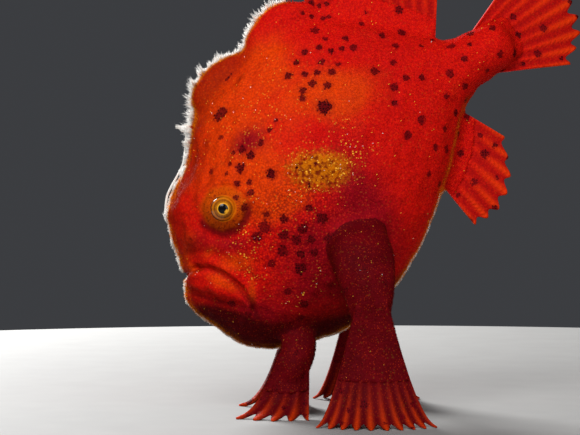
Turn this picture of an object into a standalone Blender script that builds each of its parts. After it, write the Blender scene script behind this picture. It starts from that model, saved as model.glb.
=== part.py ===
"""Painted frogfish, life size, standing head down on its paired fins.

The fish is shaped in its own frame, in millimetres: x runs back from the chin, y to the fish's
right and z up its back, with the body level. stance() bends the tail aside, tips the whole fish
head down and sets it over the floor, in metres, with +Z up and the head towards -X.
"""

import math

import bmesh
import bpy
from mathutils import Matrix, Vector

MM = 0.001

# Driving sizes of the fish, in millimetres.
STANDARD_LENGTH = 125.0
TOUCH_GAP = 0.3
ORIGIN = Vector((24.4, 0.0, 0.0))
EYE_CENTRE = Vector((25.4, 0.0, -0.5))
EYE_RADIUS = 4.2
EYE_DEPTH = 20.6
EYE_MOUND_RADIUS = 7.6
EYE_MOUND_HEIGHT = 3.2
NOSTRIL = Vector((11.4, 12.6, -3.6))
NOSTRIL_LEAN = Vector((-0.72, 0.66, 0.2))
NOSTRIL_PROFILE = [(0.0, -2.2), (1.9, -2.2), (1.7, 0.2), (1.25, 1.3), (0.75, 1.2), (0.5, -0.4),
                   (0.0, -0.5)]
NECK_X = 57.0
NECK_LEAN = 0.10
TAIL_STEM_X = 103.0

# Mouth: a quarter ellipse in side view, from the notch in the face back and down to the corner.
MOUTH_CENTRE = (6.0, -31.0)
MOUTH_RADII = (11.5, 18.5)
LOWER_LIP_FOOT = ((2.0, -18.5), (17.0, -32.8))
LIPS_END = (-37.0, -32.0)

# Folds of the skin, as (distance from a line or a centre, height, width).
EYE_FOLD = (9.0, -1.1, 2.0)
MOUTH_FOLDS = ((0.0, -1.3, 1.1), (2.4, 1.0, 1.7), (5.4, -0.5, 1.2))
LIP_FOOT_FOLD = (0.0, -0.45, 1.8)
LIP_CROWN = 0.27
NOSTRIL_SWELL = (0.0, 0.8, 3.6)
JAW_HINGE_FOOT = (15.0, -62.0)

# Stance: how the fish is tipped, bent and set over the floor.
PITCH = math.radians(30.0)
BEND_START = 72.0
BEND_RATE = math.radians(24.0) / 80.0
EYE_HEIGHT = 66.6

# Side view outline, from the tail forward along the back, down the face and back along the belly.
BACK = [(138, 8), (131, 9.6), (125, 10), (117, 10.8), (111, 13.6), (104, 20), (95, 28.5),
        (85, 35.5), (74, 40), (62, 40.6), (50, 38.2), (40, 35.2), (32.8, 31.4), (28.4, 27.4),
        (25, 22.8), (21.4, 18.2), (17.6, 15.5), (14.1, 13.4), (11, 10.9)]
FACE = [(7.6, 7.6), (6.4, 3.8), (4.9, -0.5), (4.3, -4), (3.3, -7), (3.2, -10), (4.0, -12.5),
        (1.6, -14.6), (0, -16.6), (-0.9, -20), (-0.4, -24.2), (1.3, -29), (3.6, -33)]
BELLY = [(6.8, -40.5), (11, -44.8), (16, -48), (23, -50.8), (31, -53), (41, -54.4), (52, -53),
         (64, -48.8), (77, -41), (90, -30.6), (101, -19.5), (109, -11.8), (116, -8.4),
         (125, -7.5), (131, -7), (138, -4)]
FLANK_CENTRE = Vector((56.0, 0.0, -8.0))
FLANK_RISE = 9.5
FLANK_END = 118.0
ROUNDNESS = 0.47

# Half width of the body against x, before the roundness of the flank is taken off.
HALF_WIDTHS = [(-5, 23), (8, 24.5), (22, 25.5), (45, 26.5), (62, 25), (78, 20.5), (92, 15),
               (104, 10.8), (114, 9), (125, 8.4), (140, 7.6)]

# Where, in x and in the share of the way out, the body's roundness follows its height or its rim.
TAIL_ROUNDING = (52.0, 78.0)
TAIL_ROUNDING_END = (136.0, 128.0)
RIM_ROUNDING = (0.97, 0.72)

BODY_SEGMENTS = 360
BODY_RINGS = 200
BODY_TRIANGLES = 6000

# Each fin of the midline: root points, tip points and rays, in the median plane.
DORSAL_ROOT = [(79, 35), (88, 31.5), (97, 24.5), (105, 17), (111.5, 11.8)]
DORSAL_TIP = [(83, 53), (93, 57.5), (106, 55), (117, 45), (124.5, 31)]
DORSAL_RAYS = 12
ANAL_ROOT = [(90, -28.5), (96, -22.5), (102, -16.5), (107.5, -11)]
ANAL_TIP = [(93, -46), (102.5, -45.5), (111.5, -38), (116.5, -26)]
ANAL_RAYS = 7
CAUDAL_ROOT = [(124, -6.2), (125.6, 1.3), (124, 8.8)]
CAUDAL_TIP = [(150, -16.5), (160, -9), (162.5, 1.5), (160, 12), (150, 20)]
CAUDAL_RAYS = 9

# Spines of the first dorsal fin, as paths in the median plane with half sizes root to tip.
SECOND_SPINE = [(35.5, 0, 26), (38, 0, 32), (44, 0, 35.8), (51.5, 0, 37.8), (58.5, 0, 39)]
SECOND_HALVES = [(8.0, 4.8), (6.8, 5.4), (5.6, 5.2), (4.7, 5.2), (3.4, 4.0)]
THIRD_SPINE = [(58, 0, 32), (61.5, 0, 37), (67, 0, 40.2), (74, 0, 41.6), (84, 0, 40.8)]
THIRD_HALVES = [(7.4, 6.4), (8.0, 6.4), (6.9, 5.4), (8.0, 4.8), (6.0, 3.4)]

# The lure at the tip of its rod, which lies back just above the brow.
ROD_RADIUS = 0.42
ROD_LIFT = 1.0
ROD_STEPS = 18
LURE = [(26.9, 0, 27.6), (26.1, 0, 28.9), (24.6, 0, 30.7)]
LURE_HALVES = [(1.0, 1.0), (2.0, 1.8), (1.4, 1.3), (0.5, 0.5)]

# Limbs: x behind the eye, y out to the side and height over the floor.
ARM = [(43, 6, 65), (42.8, 16.5, 60), (44.4, 26.5, 51.5), (46.8, 32.5, 40), (47.5, 35, 24)]
ARM_HALVES = [(8.5, 6), (10.2, 6.8), (10.2, 6.6), (9.2, 5.2), (7.8, 3.2)]
HAND_KNUCKLES = [(54, 34.8, 31), (50, 35.2, 29.4), (45, 35.2, 29.4), (41, 34.8, 31)]
HAND_KNEES = [(62, 37, 0.5), (53, 39, 0.5), (43, 39, 0.5), (34, 37, 0.5)]
HAND_TIPS = [(67, 44, 0.3), (56, 51, 0.3), (42, 51, 0.3), (30, 45, 0.3)]
HAND_RAYS = 10
LEG = [(25.5, 7, 31), (25, 10.5, 23), (23, 14, 15.5), (21, 15.5, 10)]
LEG_HALVES = [(6.6, 4.8), (6.2, 4.6), (5.4, 3.8), (4.8, 2.8)]
FOOT_KNUCKLES = [(28, 13.4, 16.5), (22.6, 14.4, 14.5), (17.2, 13.6, 16.5)]
FOOT_KNEES = [(28, 15, 0.5), (20, 17, 0.5), (12, 14, 0.5)]
FOOT_TIPS = [(28, 24, 0.3), (16.5, 26.5, 0.3), (5, 20, 0.3)]
FOOT_RAYS = 5

SIDES = ((-1, "left"), (1, "right"))
MEDIAN_ACROSS = (0, 1, 0)
LIMB_LEAN = 0.3
LIMB_BLUNTNESS = 0.36

MATERIALS = {
    "skin": ((0.72, 0.085, 0.02), 0.62, 0.0),
    "fin": ((0.60, 0.035, 0.025), 0.55, 0.0),
    "lure": ((0.85, 0.74, 0.62), 0.6, 0.0),
    "eye": ((0.55, 0.27, 0.03), 0.15, 0.0),
}


def clamp(value, low=0.0, high=1.0):
    return max(low, min(high, value))


def smooth_step(start, end, value):
    t = clamp((value - start) / (end - start))
    return t * t * (3 - 2 * t)


def bump(distance, width):
    """A bell of height 1 at distance 0."""
    return math.exp(-(distance / width) ** 2)


def through(points, t):
    """The point at t, from 0 to 1, on a smooth open curve through the points."""
    points = [Vector(p) for p in points]
    ends = [2 * points[0] - points[1]] + points + [2 * points[-1] - points[-2]]
    place = clamp(t) * (len(points) - 1)
    i = min(int(place), len(points) - 2)
    u = place - i
    p0, p1, p2, p3 = ends[i:i + 4]
    return 0.5 * (2 * p1 + (p2 - p0) * u + (2 * p0 - 5 * p1 + 4 * p2 - p3) * u * u
                  + (3 * p1 - p0 - 3 * p2 + p3) * u ** 3)


def table(pairs, x):
    """A value read from (place, value) pairs, eased between them."""
    if x <= pairs[0][0]:
        return pairs[0][1]
    for (x0, v0), (x1, v1) in zip(pairs, pairs[1:]):
        if x <= x1:
            return v0 + (v1 - v0) * (x - x0) / (x1 - x0)
    return pairs[-1][1]


def stance(point):
    """A point of the fish's own frame, as it stands in the world, in metres."""
    x, y, z = point
    along = x - BEND_START
    if along > 0:
        turn = BEND_RATE * along
        x = BEND_START + (math.sin(turn) / BEND_RATE) - y * math.sin(turn)
        y = (1 - math.cos(turn)) / BEND_RATE + y * math.cos(turn)
    x -= ORIGIN.x
    z -= ORIGIN.z
    return MM * Vector((
        x * math.cos(PITCH) - z * math.sin(PITCH),
        y,
        x * math.sin(PITCH) + z * math.cos(PITCH) + EYE_HEIGHT,
    ))


def floor_point(point):
    """A point given as x behind the eye, y and height over the floor, in metres."""
    return MM * Vector(point)


def material(name):
    """The named material, made once."""
    made = bpy.data.materials.get(name)
    if made is None:
        colour, roughness, metallic = MATERIALS[name]
        made = bpy.data.materials.new(name)
        made.use_nodes = True
        shader = made.node_tree.nodes["Principled BSDF"]
        shader.inputs["Base Color"].default_value = (*colour, 1.0)
        shader.inputs["Roughness"].default_value = roughness
        shader.inputs["Metallic"].default_value = metallic
        made.diffuse_color = (*colour, 1.0)
    return made


def object_from(bm, name, collection):
    """A new object that holds the bmesh, with its normals facing out."""
    bmesh.ops.remove_doubles(bm, verts=bm.verts, dist=0.00001)
    bmesh.ops.recalc_face_normals(bm, faces=bm.faces)
    mesh = bpy.data.meshes.new(name)
    bm.to_mesh(mesh)
    bm.free()
    made = bpy.data.objects.new(name, mesh)
    collection.objects.link(made)
    return made


def baked(obj):
    """Applies the object's modifiers to its mesh."""
    graph = bpy.context.evaluated_depsgraph_get()
    graph.update()
    mesh = bpy.data.meshes.new_from_object(obj.evaluated_get(graph))
    obj.modifiers.clear()
    obj.data = mesh
    return obj


def combined(obj, other, operation, solver="EXACT"):
    """Cuts obj by the other object, or joins or intersects the two, and applies it."""
    boolean = obj.modifiers.new(operation.lower(), "BOOLEAN")
    boolean.operation = operation
    boolean.object = other
    boolean.solver = solver
    return baked(obj)


def largest_piece(obj):
    """Keeps only the object's largest closed surface."""
    bm = bmesh.new()
    bm.from_mesh(obj.data)
    bmesh.ops.remove_doubles(bm, verts=bm.verts, dist=0.000002)
    bmesh.ops.dissolve_degenerate(bm, edges=bm.edges, dist=0.000002)
    bm.faces.ensure_lookup_table()
    seen, groups = set(), []
    for face in bm.faces:
        if face.index in seen:
            continue
        group, todo = [], [face]
        seen.add(face.index)
        while todo:
            at = todo.pop()
            group.append(at)
            for edge in at.edges:
                for near in edge.link_faces:
                    if near.index not in seen:
                        seen.add(near.index)
                        todo.append(near)
        groups.append(group)
    groups.sort(key=lambda g: sum(f.calc_area() for f in g))
    for group in groups[:-1]:
        bmesh.ops.delete(bm, geom=group, context="FACES")
    bmesh.ops.delete(bm, geom=[v for v in bm.verts if not v.link_faces], context="VERTS")
    bm.to_mesh(obj.data)
    bm.free()
    return obj


def copy_of(obj, name, collection):
    """A copy with a mesh of its own."""
    made = bpy.data.objects.new(name, obj.data.copy())
    collection.objects.link(made)
    return made


def grown(obj, by, name, collection):
    """A copy of a closed object, swollen along its normals by a distance in millimetres."""
    made = copy_of(obj, name, collection)
    bm = bmesh.new()
    bm.from_mesh(made.data)
    bm.normal_update()
    moves = [(v, v.normal * by * MM) for v in bm.verts]
    for vert, move in moves:
        vert.co += move
    bm.to_mesh(made.data)
    bm.free()
    return made


def reduced(obj, triangles):
    """Thins the mesh to about that many triangles, kept where the form bends."""
    obj.data.update()
    count = sum(len(p.vertices) - 2 for p in obj.data.polygons)
    decimate = obj.modifiers.new("thin", "DECIMATE")
    decimate.ratio = min(1.0, triangles / count)
    decimate.use_collapse_triangulate = True
    return baked(obj)


class Outline:
    """The closed side view outline, sampled by its length, closer together on the head."""

    def __init__(self, points, steps=12, head_weight=1.6, head_length=30.0):
        loop = [Vector(p) for p in points]
        count = len(loop)
        self.samples = []
        for i in range(count):
            p0, p1, p2, p3 = (loop[(i + k) % count] for k in (-1, 0, 1, 2))
            for k in range(steps):
                u = k / steps
                self.samples.append(0.5 * (
                    2 * p1 + (p2 - p0) * u + (2 * p0 - 5 * p1 + 4 * p2 - p3) * u * u
                    + (3 * p1 - p0 - 3 * p2 + p3) * u ** 3))
        self.samples.append(self.samples[0])
        self.back = sorted((p.x, p.y) for p in self.samples[:len(BACK) * steps])
        self.belly = sorted((p.x, p.y) for p in self.samples[-len(BELLY) * steps:])
        self.soft_radii = self.softened_radii()
        self.lengths = [0.0]
        for a, b in zip(self.samples, self.samples[1:]):
            weight = 1 + head_weight * bump(max(0.0, (a.x + b.x) / 2), head_length)
            self.lengths.append(self.lengths[-1] + (b - a).length * weight)

    def at(self, share):
        """The outline's point at a share of its weighted length."""
        wanted = (share % 1.0) * self.lengths[-1]
        low, high = 0, len(self.lengths) - 1
        while high - low > 1:
            middle = (low + high) // 2
            if self.lengths[middle] <= wanted:
                low = middle
            else:
                high = middle
        span = self.lengths[high] - self.lengths[low]
        return self.samples[low].lerp(self.samples[high], (wanted - self.lengths[low]) / span)

    def softened_radii(self, directions=120, spread=6):
        """Distance from the flank's centre to the outline by direction, averaged over nearby ones."""
        polar = sorted((math.atan2(p.y - FLANK_CENTRE.z, p.x - FLANK_CENTRE.x),
                        math.hypot(p.x - FLANK_CENTRE.x, p.y - FLANK_CENTRE.z))
                       for p in self.samples)
        radii = [table(polar, math.tau * (k / directions - 0.5)) for k in range(directions)]
        weights = [(k, bump(k, spread / 1.7)) for k in range(-spread, spread + 1)]
        whole = sum(weight for _, weight in weights)
        soft = [sum(radii[(i + k) % directions] * weight for k, weight in weights) / whole
                for i in range(directions)]
        return soft + soft[:1]

    def round_share(self, x, z):
        """How far a point is from the flank's centre, 0, towards the softened outline, 1."""
        dx, dz = x - FLANK_CENTRE.x, z - FLANK_CENTRE.z
        count = len(self.soft_radii) - 1
        place = (math.atan2(dz, dx) / math.tau + 0.5) * count
        i = min(int(place), count - 1)
        radius = self.soft_radii[i] + (self.soft_radii[i + 1] - self.soft_radii[i]) * (place - i)
        return clamp(math.hypot(dx, dz) / radius)

    def height_share(self, x, z):
        """How far a point of the trunk is from the flank's line, 0, towards the outline, 1."""
        flank = FLANK_CENTRE.z + FLANK_RISE * smooth_step(FLANK_CENTRE.x, FLANK_END, x)
        edge = table(self.back if z > flank else self.belly, x)
        return clamp((z - flank) / (edge - flank))


def mouth_distance(x, z):
    """Distance above the mouth line, in side view; negative inside the lower jaw."""
    mx, mz = MOUTH_CENTRE
    a, b = MOUTH_RADII
    if x <= mx:
        return z - (mz + b)
    dx, dz = (x - mx) / a, max(0.0, z - mz) / b
    size = math.hypot(dx, dz)
    if size < 1e-6:
        return -a
    return (size - 1) * math.hypot(dx * a, dz * b) / size


def lip_foot_distance(x, z):
    """Distance above the groove under the lower lip, in side view."""
    (x0, z0), (x1, z1) = LOWER_LIP_FOOT
    length = math.hypot(x1 - x0, z1 - z0)
    return ((x1 - x0) * (z - z0) - (z1 - z0) * (x - x0)) / length


def half_width(x, z):
    """Half width of the body at the flank, narrower towards the back and the throat."""
    back = 1 - 0.30 * smooth_step(0, 42, z)
    throat = 1 - 0.12 * smooth_step(-34, -56, z)
    return table(HALF_WIDTHS, x) * back * throat


def fold(distance, shape):
    """Height of a fold of the skin at a distance from its line or centre."""
    place, height, width = shape
    return height * bump(distance - place, width)


def relief(x, z):
    """How far the skin stands out of the plain body: eye mound, lips, snout and folds."""
    height = 0.0
    from_eye = math.hypot(x - EYE_CENTRE.x, z - EYE_CENTRE.z)
    if from_eye < EYE_MOUND_RADIUS:
        height += EYE_MOUND_HEIGHT * (1 - (from_eye / EYE_MOUND_RADIUS) ** 2) ** 1.5
    under = smooth_step(0.35, -0.35, math.sin(math.atan2(z - EYE_CENTRE.z, x - EYE_CENTRE.x) + 0.5))
    height += under * fold(from_eye, EYE_FOLD)
    above_mouth = mouth_distance(x, z)
    along = smooth_step(*LIPS_END, z)
    height += along * sum(fold(above_mouth, shape) for shape in MOUTH_FOLDS)
    foot = lip_foot_distance(x, z)
    if above_mouth < 0:
        height += fold(foot, LIP_FOOT_FOLD) * smooth_step(0, -3, above_mouth)
        lip = foot - above_mouth
        if foot > 0:
            height += LIP_CROWN * lip * math.sin(math.pi * foot / lip)
    return height + fold(math.hypot(x - NOSTRIL.x, z - NOSTRIL.z), NOSTRIL_SWELL)


def build_body(collection):
    """The whole body, from the snout past the tail's end, as one closed skin."""
    outline = Outline(BACK + FACE + BELLY)
    bm = bmesh.new()
    bmesh.ops.create_uvsphere(
        bm, u_segments=BODY_SEGMENTS, v_segments=BODY_RINGS, radius=1.0,
        matrix=Matrix.Rotation(math.radians(90), 4, "X"))
    centre = Vector((FLANK_CENTRE.x, FLANK_CENTRE.z))
    for vert in bm.verts:
        side = vert.co.y
        reach = math.hypot(vert.co.x, vert.co.z)
        share = math.atan2(vert.co.z, vert.co.x) / math.tau
        place = centre.lerp(outline.at(share), reach)
        behind = smooth_step(*TAIL_ROUNDING, place.x) * smooth_step(*TAIL_ROUNDING_END, place.x)
        ahead = smooth_step(*RIM_ROUNDING, reach)
        inset = reach + (outline.round_share(place.x, place.y) - reach) * ahead
        inset += (outline.height_share(place.x, place.y) - inset) * behind
        width = half_width(place.x, place.y) * max(0.0, 1 - inset ** 2) ** ROUNDNESS
        vert.co = Vector((place.x, math.copysign(width, side) if abs(side) > 1e-6 else 0.0, place.y))
    bmesh.ops.recalc_face_normals(bm, faces=bm.faces)
    bm.normal_update()
    raised = [v.co + v.normal * relief(v.co.x, v.co.z) for v in bm.verts]
    for vert, place in zip(bm.verts, raised):
        vert.co = stance(place)
    return reduced(object_from(bm, "body", collection), BODY_TRIANGLES)


def build_prism(name, outline, collection, half_depth=55.0):
    """A cutter: an outline of the side view, run right through the body."""
    bm = bmesh.new()
    face = bm.faces.new([bm.verts.new((x, -half_depth, z)) for x, z in outline])
    run = bmesh.ops.extrude_face_region(bm, geom=[face])
    bmesh.ops.translate(
        bm, vec=(0, 2 * half_depth, 0),
        verts=[g for g in run["geom"] if isinstance(g, bmesh.types.BMVert)])
    for vert in bm.verts:
        vert.co = stance(vert.co)
    return object_from(bm, name, collection)


def jaw_outline(grow):
    """Side view of the lower jaw's block, larger by grow."""
    mx, mz = MOUTH_CENTRE
    a, b = (radius + grow for radius in MOUTH_RADII)
    steps = 14
    arc = [(mx + a * math.sin(math.radians(90) * k / steps),
            mz + b * math.cos(math.radians(90) * k / steps)) for k in range(steps + 1)]
    foot_x, foot_z = JAW_HINGE_FOOT
    return [(-12, mz + b)] + arc + [(foot_x + grow, foot_z), (-12, foot_z)]


def block_outline(front, back):
    """Side view of a slab between two slanted planes, each given as x at z 0 and a lean."""
    low, high = -90.0, 90.0
    return [(front[0] + front[1] * low, low), (front[0] + front[1] * high, high),
            (back[0] + back[1] * high, high), (back[0] + back[1] * low, low)]


def build_limb(name, path, halves, collection, across, segments=14, rings=12, place=stance,
               bluntness=0.45):
    """A rounded limb along a path. halves gives (along, side) half sizes from root to tip."""
    bm = bmesh.new()
    bmesh.ops.create_uvsphere(bm, u_segments=segments, v_segments=rings, radius=1.0)
    across = Vector(across).normalized()
    for vert in bm.verts:
        share = math.acos(clamp(-vert.co.z, -1, 1)) / math.pi
        centre = through(path, share)
        tangent = (through(path, min(1, share + 0.02)) - through(path, max(0, share - 0.02)))
        tangent.normalize()
        side = (across - tangent * across.dot(tangent)).normalized()
        up = side.cross(tangent)
        ring = math.hypot(vert.co.x, vert.co.y)
        blunt = ring ** bluntness if ring > 1e-6 else 0.0
        angle = math.atan2(vert.co.y, vert.co.x)
        flat, thick = (table([(k / (len(halves) - 1), h[n]) for k, h in enumerate(halves)], share)
                       for n in (0, 1))
        vert.co = place(centre + blunt * (up * flat * math.cos(angle)
                                          + side * thick * math.sin(angle)))
    return object_from(bm, name, collection)


def ray_columns(rays, spread=0.30):
    """Places across a fin, from 0 to 1, with how much of a ray's ridge each one has."""
    step = 1 / (rays - 1)
    columns = []
    for k in range(rays):
        middle = k * step
        if k > 0:
            columns.append((middle - spread * step, 0.0))
        columns.append((middle, 1.0))
        if k < rays - 1:
            columns.append((middle + spread * step, 0.0))
    return columns


def build_fin(name, rays, rows, surface, collection, thickness=(1.5, 0.8), web=(0.6, 0.6),
              scallop=0.1):
    """A thin fin with its rays as ridges on both faces.

    surface(across, out) gives a point in metres; out runs from 0 at the root to 1 at the tips.
    thickness and web are those of a ray and of the membrane, at the root and at the tips.
    """
    columns = ray_columns(rays)
    width = len(columns) - 1
    bm = bmesh.new()
    bmesh.ops.create_grid(bm, x_segments=width, y_segments=rows, size=0.5)
    bm.verts.ensure_lookup_table()
    grid = {}
    for vert in bm.verts:
        i = round((vert.co.x + 0.5) * width)
        j = round((vert.co.y + 0.5) * rows)
        grid[(i, j)] = vert
    middles = {}
    for (i, j), vert in grid.items():
        across, ridge = columns[i]
        out = j / rows * (1 - scallop * (1 - ridge))
        middles[vert] = (surface(across, out), ridge, j / rows)
    for vert, (point, _, _) in middles.items():
        vert.co = point
    bmesh.ops.triangulate(bm, faces=bm.faces, quad_method="FIXED")
    bmesh.ops.recalc_face_normals(bm, faces=bm.faces)
    bm.normal_update()
    front = {}
    for vert, (point, ridge, out) in middles.items():
        root, tip = thickness if ridge else web
        thick = tip + (root - tip) * (1 - out) ** 1.6
        front[vert] = (point, vert.normal.copy() * thick / 2 * MM)
    faces = list(bm.faces)
    edge = [e for e in bm.edges if e.is_boundary]
    doubled = bmesh.ops.duplicate(bm, geom=faces)
    back = {doubled["vert_map"][v]: v for v in front}
    new_faces = [g for g in doubled["geom"] if isinstance(g, bmesh.types.BMFace)]
    new_edges = [doubled["edge_map"][e] for e in edge]
    bmesh.ops.reverse_faces(bm, faces=new_faces)
    for vert, (point, push) in front.items():
        vert.co = point + push
    for vert, twin in back.items():
        point, push = front[twin]
        vert.co = point - push
    bmesh.ops.bridge_loops(bm, edges=edge + new_edges)
    bmesh.ops.triangulate(bm, faces=[f for f in bm.faces if len(f.verts) > 3])
    return object_from(bm, name, collection)


def median_fin(name, root, tip, rays, rows, collection, **sizes):
    """A fin in the fish's median plane."""
    def surface(across, out):
        place = through(root, across).lerp(through(tip, across), out)
        sway = 0.8 * math.sin(across * 9.0) * out * out
        return stance((place.x, sway, place.y))
    return build_fin(name, rays, rows, surface, collection, **sizes)


def hand_fin(name, side, knuckles, knees, tips, rays, rows, collection, **sizes):
    """A paired fin that reaches down from its knuckles and lies out along the floor."""
    def surface(across, out):
        start, knee, end = (through(p, across) for p in (knuckles, knees, tips))
        place = start.lerp(knee, out).lerp(knee.lerp(end, out), out)
        return floor_point((place.x, side * place.y, place.z))
    return build_fin(name, rays, rows, surface, collection, **sizes)


def build_eye(name, side, collection, grow=0.0):
    """An eyeball, or with grow the socket round it."""
    bm = bmesh.new()
    centre = Vector((EYE_CENTRE.x, side * EYE_DEPTH, EYE_CENTRE.z))
    bmesh.ops.create_uvsphere(bm, u_segments=16, v_segments=10, radius=EYE_RADIUS + grow,
                              matrix=Matrix.Rotation(math.radians(90), 4, "X"))
    for vert in bm.verts:
        vert.co = stance(centre + vert.co)
    return object_from(bm, name, collection)


def build_nostril(name, side, collection):
    """A short tube round a pit, turned about an axis that leans out of the snout."""
    bm = bmesh.new()
    ring = [bm.verts.new((r, 0, h)) for r, h in NOSTRIL_PROFILE]
    for a, b in zip(ring, ring[1:]):
        bm.edges.new((a, b))
    bmesh.ops.spin(bm, geom=bm.verts[:] + bm.edges[:], axis=(0, 0, 1), cent=(0, 0, 0),
                   angle=math.tau, steps=10, use_merge=True)
    bmesh.ops.remove_doubles(bm, verts=bm.verts, dist=0.01)
    out = Vector((NOSTRIL_LEAN.x, side * NOSTRIL_LEAN.y, NOSTRIL_LEAN.z)).normalized()
    turn = out.to_track_quat("Z", "Y").to_matrix()
    foot = Vector((NOSTRIL.x, side * NOSTRIL.y, NOSTRIL.z))
    for vert in bm.verts:
        vert.co = stance(foot + turn @ vert.co)
    return object_from(bm, name, collection)


def trimmed(obj, *others):
    """Cuts each other object from obj and keeps the piece that is left.

    A swollen copy may touch itself in a tight fold, which the exact solver can't take.
    """
    for other in others:
        combined(obj, other, "DIFFERENCE", solver="MANIFOLD")
    return largest_piece(obj)


def rod_path():
    """The rod's path: out of the snout, back above the brow and up to the lure."""
    brow = [Vector((x, 0, z)) for x, z in FACE[:1] + BACK[:-6:-1] + BACK[-6:-5]]
    path = [Vector((8.4, 0, 3.8)), Vector((6.7, 0, 5.9))]
    for before, at, after in zip(brow, brow[1:], brow[2:]):
        along = (after - before).normalized()
        path.append(at + ROD_LIFT * Vector((-along.z, 0, along.x)))
    return path + [Vector(LURE[0])]


def build_rod(collection):
    """The rod of the lure: a round tube on a smooth path."""
    path = rod_path()
    curve = bpy.data.curves.new("illicium", "CURVE")
    curve.dimensions = "3D"
    curve.bevel_depth = ROD_RADIUS * MM
    curve.bevel_resolution = 1
    curve.use_fill_caps = True
    spline = curve.splines.new("POLY")
    spline.points.add(ROD_STEPS)
    for k, point in enumerate(spline.points):
        point.co = (*stance(through(path, k / ROD_STEPS)), 1.0)
    guide = bpy.data.objects.new("rod_guide", curve)
    collection.objects.link(guide)
    bpy.context.view_layer.update()
    graph = bpy.context.evaluated_depsgraph_get()
    bm = bmesh.new()
    bm.from_mesh(bpy.data.meshes.new_from_object(guide.evaluated_get(graph)))
    bpy.data.objects.remove(guide)
    return object_from(bm, "illicium", collection)


def finish(obj, slot, collection):
    """Gives the part its material, smooth shading and its place in the collection."""
    obj.data.materials.clear()
    obj.data.materials.append(material(slot))
    for face in obj.data.polygons:
        face.material_index = 0
    obj.data.shade_smooth()
    for held_in in list(obj.users_collection):
        held_in.objects.unlink(obj)
    collection.objects.link(obj)


def root_of(obj, place):
    """Moves the object's origin to its root, with the object left where it is."""
    obj.data.transform(Matrix.Translation(-place))
    obj.location = place


def stand_on_origin(parts, name):
    """Parents the parts to one empty, set so that their box is centred over the origin."""
    corners = [obj.matrix_world @ Vector(corner) for obj in parts for corner in obj.bound_box]
    low, high = ([pick(c[axis] for c in corners) for axis in range(2)] for pick in (min, max))
    stand = bpy.data.objects.new(name, None)
    stand.location = (-(low[0] + high[0]) / 2, -(low[1] + high[1]) / 2, 0)
    for obj in parts:
        obj.parent = stand
    return stand


def build_floor_cut(collection):
    """A block under the floor, which keeps the fins above it."""
    bm = bmesh.new()
    bmesh.ops.create_cube(bm, size=0.4, matrix=Matrix.Translation((0, 0, -0.2)))
    return object_from(bm, "floor_cut", collection)


def new_collection(name):
    """An empty collection in the scene."""
    made = bpy.data.collections.new(name)
    bpy.context.scene.collection.children.link(made)
    return made


def dress_head(body, parts, cutters):
    """Sets the eyes in their sockets and raises the nostrils on the body."""
    for side, label in SIDES:
        finish(build_eye("eye_" + label, side, cutters), "eye", parts)
        combined(body, build_eye("socket_" + label, side, cutters, grow=TOUCH_GAP), "DIFFERENCE")
        combined(body, build_nostril("nostril_" + label, side, cutters), "UNION")


def part_body(body, parts, cutters):
    """Parts the body into the lower jaw, head, trunk and tail stem, by thin cuts."""
    half_gap = TOUCH_GAP / 2
    lower_jaw = copy_of(body, "lower_jaw", cutters)
    combined(lower_jaw, build_prism("jaw_block", jaw_outline(-half_gap), cutters), "INTERSECT")
    finish(largest_piece(lower_jaw), "skin", parts)
    slabs = {
        "head": ((-40, 0), (NECK_X - half_gap, NECK_LEAN)),
        "trunk": ((NECK_X + half_gap, NECK_LEAN), (TAIL_STEM_X - half_gap, 0)),
        "tail_stem": ((TAIL_STEM_X + half_gap, 0), (STANDARD_LENGTH, 0)),
    }
    for name, (front, back) in slabs.items():
        piece = copy_of(body, name, cutters)
        slab = build_prism(name + "_slab", block_outline(front, back), cutters)
        combined(piece, slab, "INTERSECT")
        if name == "head":
            jaw_room = build_prism("jaw_room", jaw_outline(half_gap), cutters)
            combined(piece, jaw_room, "DIFFERENCE")
        finish(largest_piece(piece), "skin", parts)


def build_spines(body_gap, parts, cutters):
    """The second and third spines, the rod and the lure. Gives the room round the third spine."""
    second = build_limb("second_dorsal_spine", SECOND_SPINE, SECOND_HALVES, cutters, MEDIAN_ACROSS)
    second_gap = grown(second, TOUCH_GAP, "second_gap", cutters)
    third = build_limb("third_dorsal_spine", THIRD_SPINE, THIRD_HALVES, cutters, MEDIAN_ACROSS,
                       rings=14)
    third_gap = grown(third, TOUCH_GAP, "third_gap", cutters)
    rod = build_rod(cutters)
    rod_gap = grown(rod, TOUCH_GAP, "rod_gap", cutters)
    lure = build_limb("esca", LURE, LURE_HALVES, cutters, MEDIAN_ACROSS, segments=10, rings=8)
    finish(trimmed(second, body_gap), "skin", parts)
    finish(trimmed(third, body_gap, second_gap), "skin", parts)
    finish(trimmed(rod, body_gap, second_gap), "lure", parts)
    finish(trimmed(lure, body_gap, second_gap, rod_gap), "lure", parts)
    return third_gap


def build_median_fins(body_gap, third_gap, parts, cutters):
    """The dorsal, anal and tail fins."""
    dorsal = median_fin("dorsal_fin", DORSAL_ROOT, DORSAL_TIP, DORSAL_RAYS, 5, cutters)
    finish(trimmed(dorsal, body_gap, third_gap), "fin", parts)
    anal = median_fin("anal_fin", ANAL_ROOT, ANAL_TIP, ANAL_RAYS, 5, cutters)
    finish(trimmed(anal, body_gap), "fin", parts)
    tail_end = build_prism("tail_end", block_outline((90, 0), (STANDARD_LENGTH + TOUCH_GAP, 0)),
                           cutters)
    caudal = median_fin("caudal_fin", CAUDAL_ROOT, CAUDAL_TIP, CAUDAL_RAYS, 6, cutters,
                        thickness=(2.0, 0.8))
    finish(trimmed(caudal, tail_end), "fin", parts)


def mirrored(path, side):
    """A path given for the right side, on either side."""
    return [(x, side * y, z) for x, y, z in path]


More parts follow.
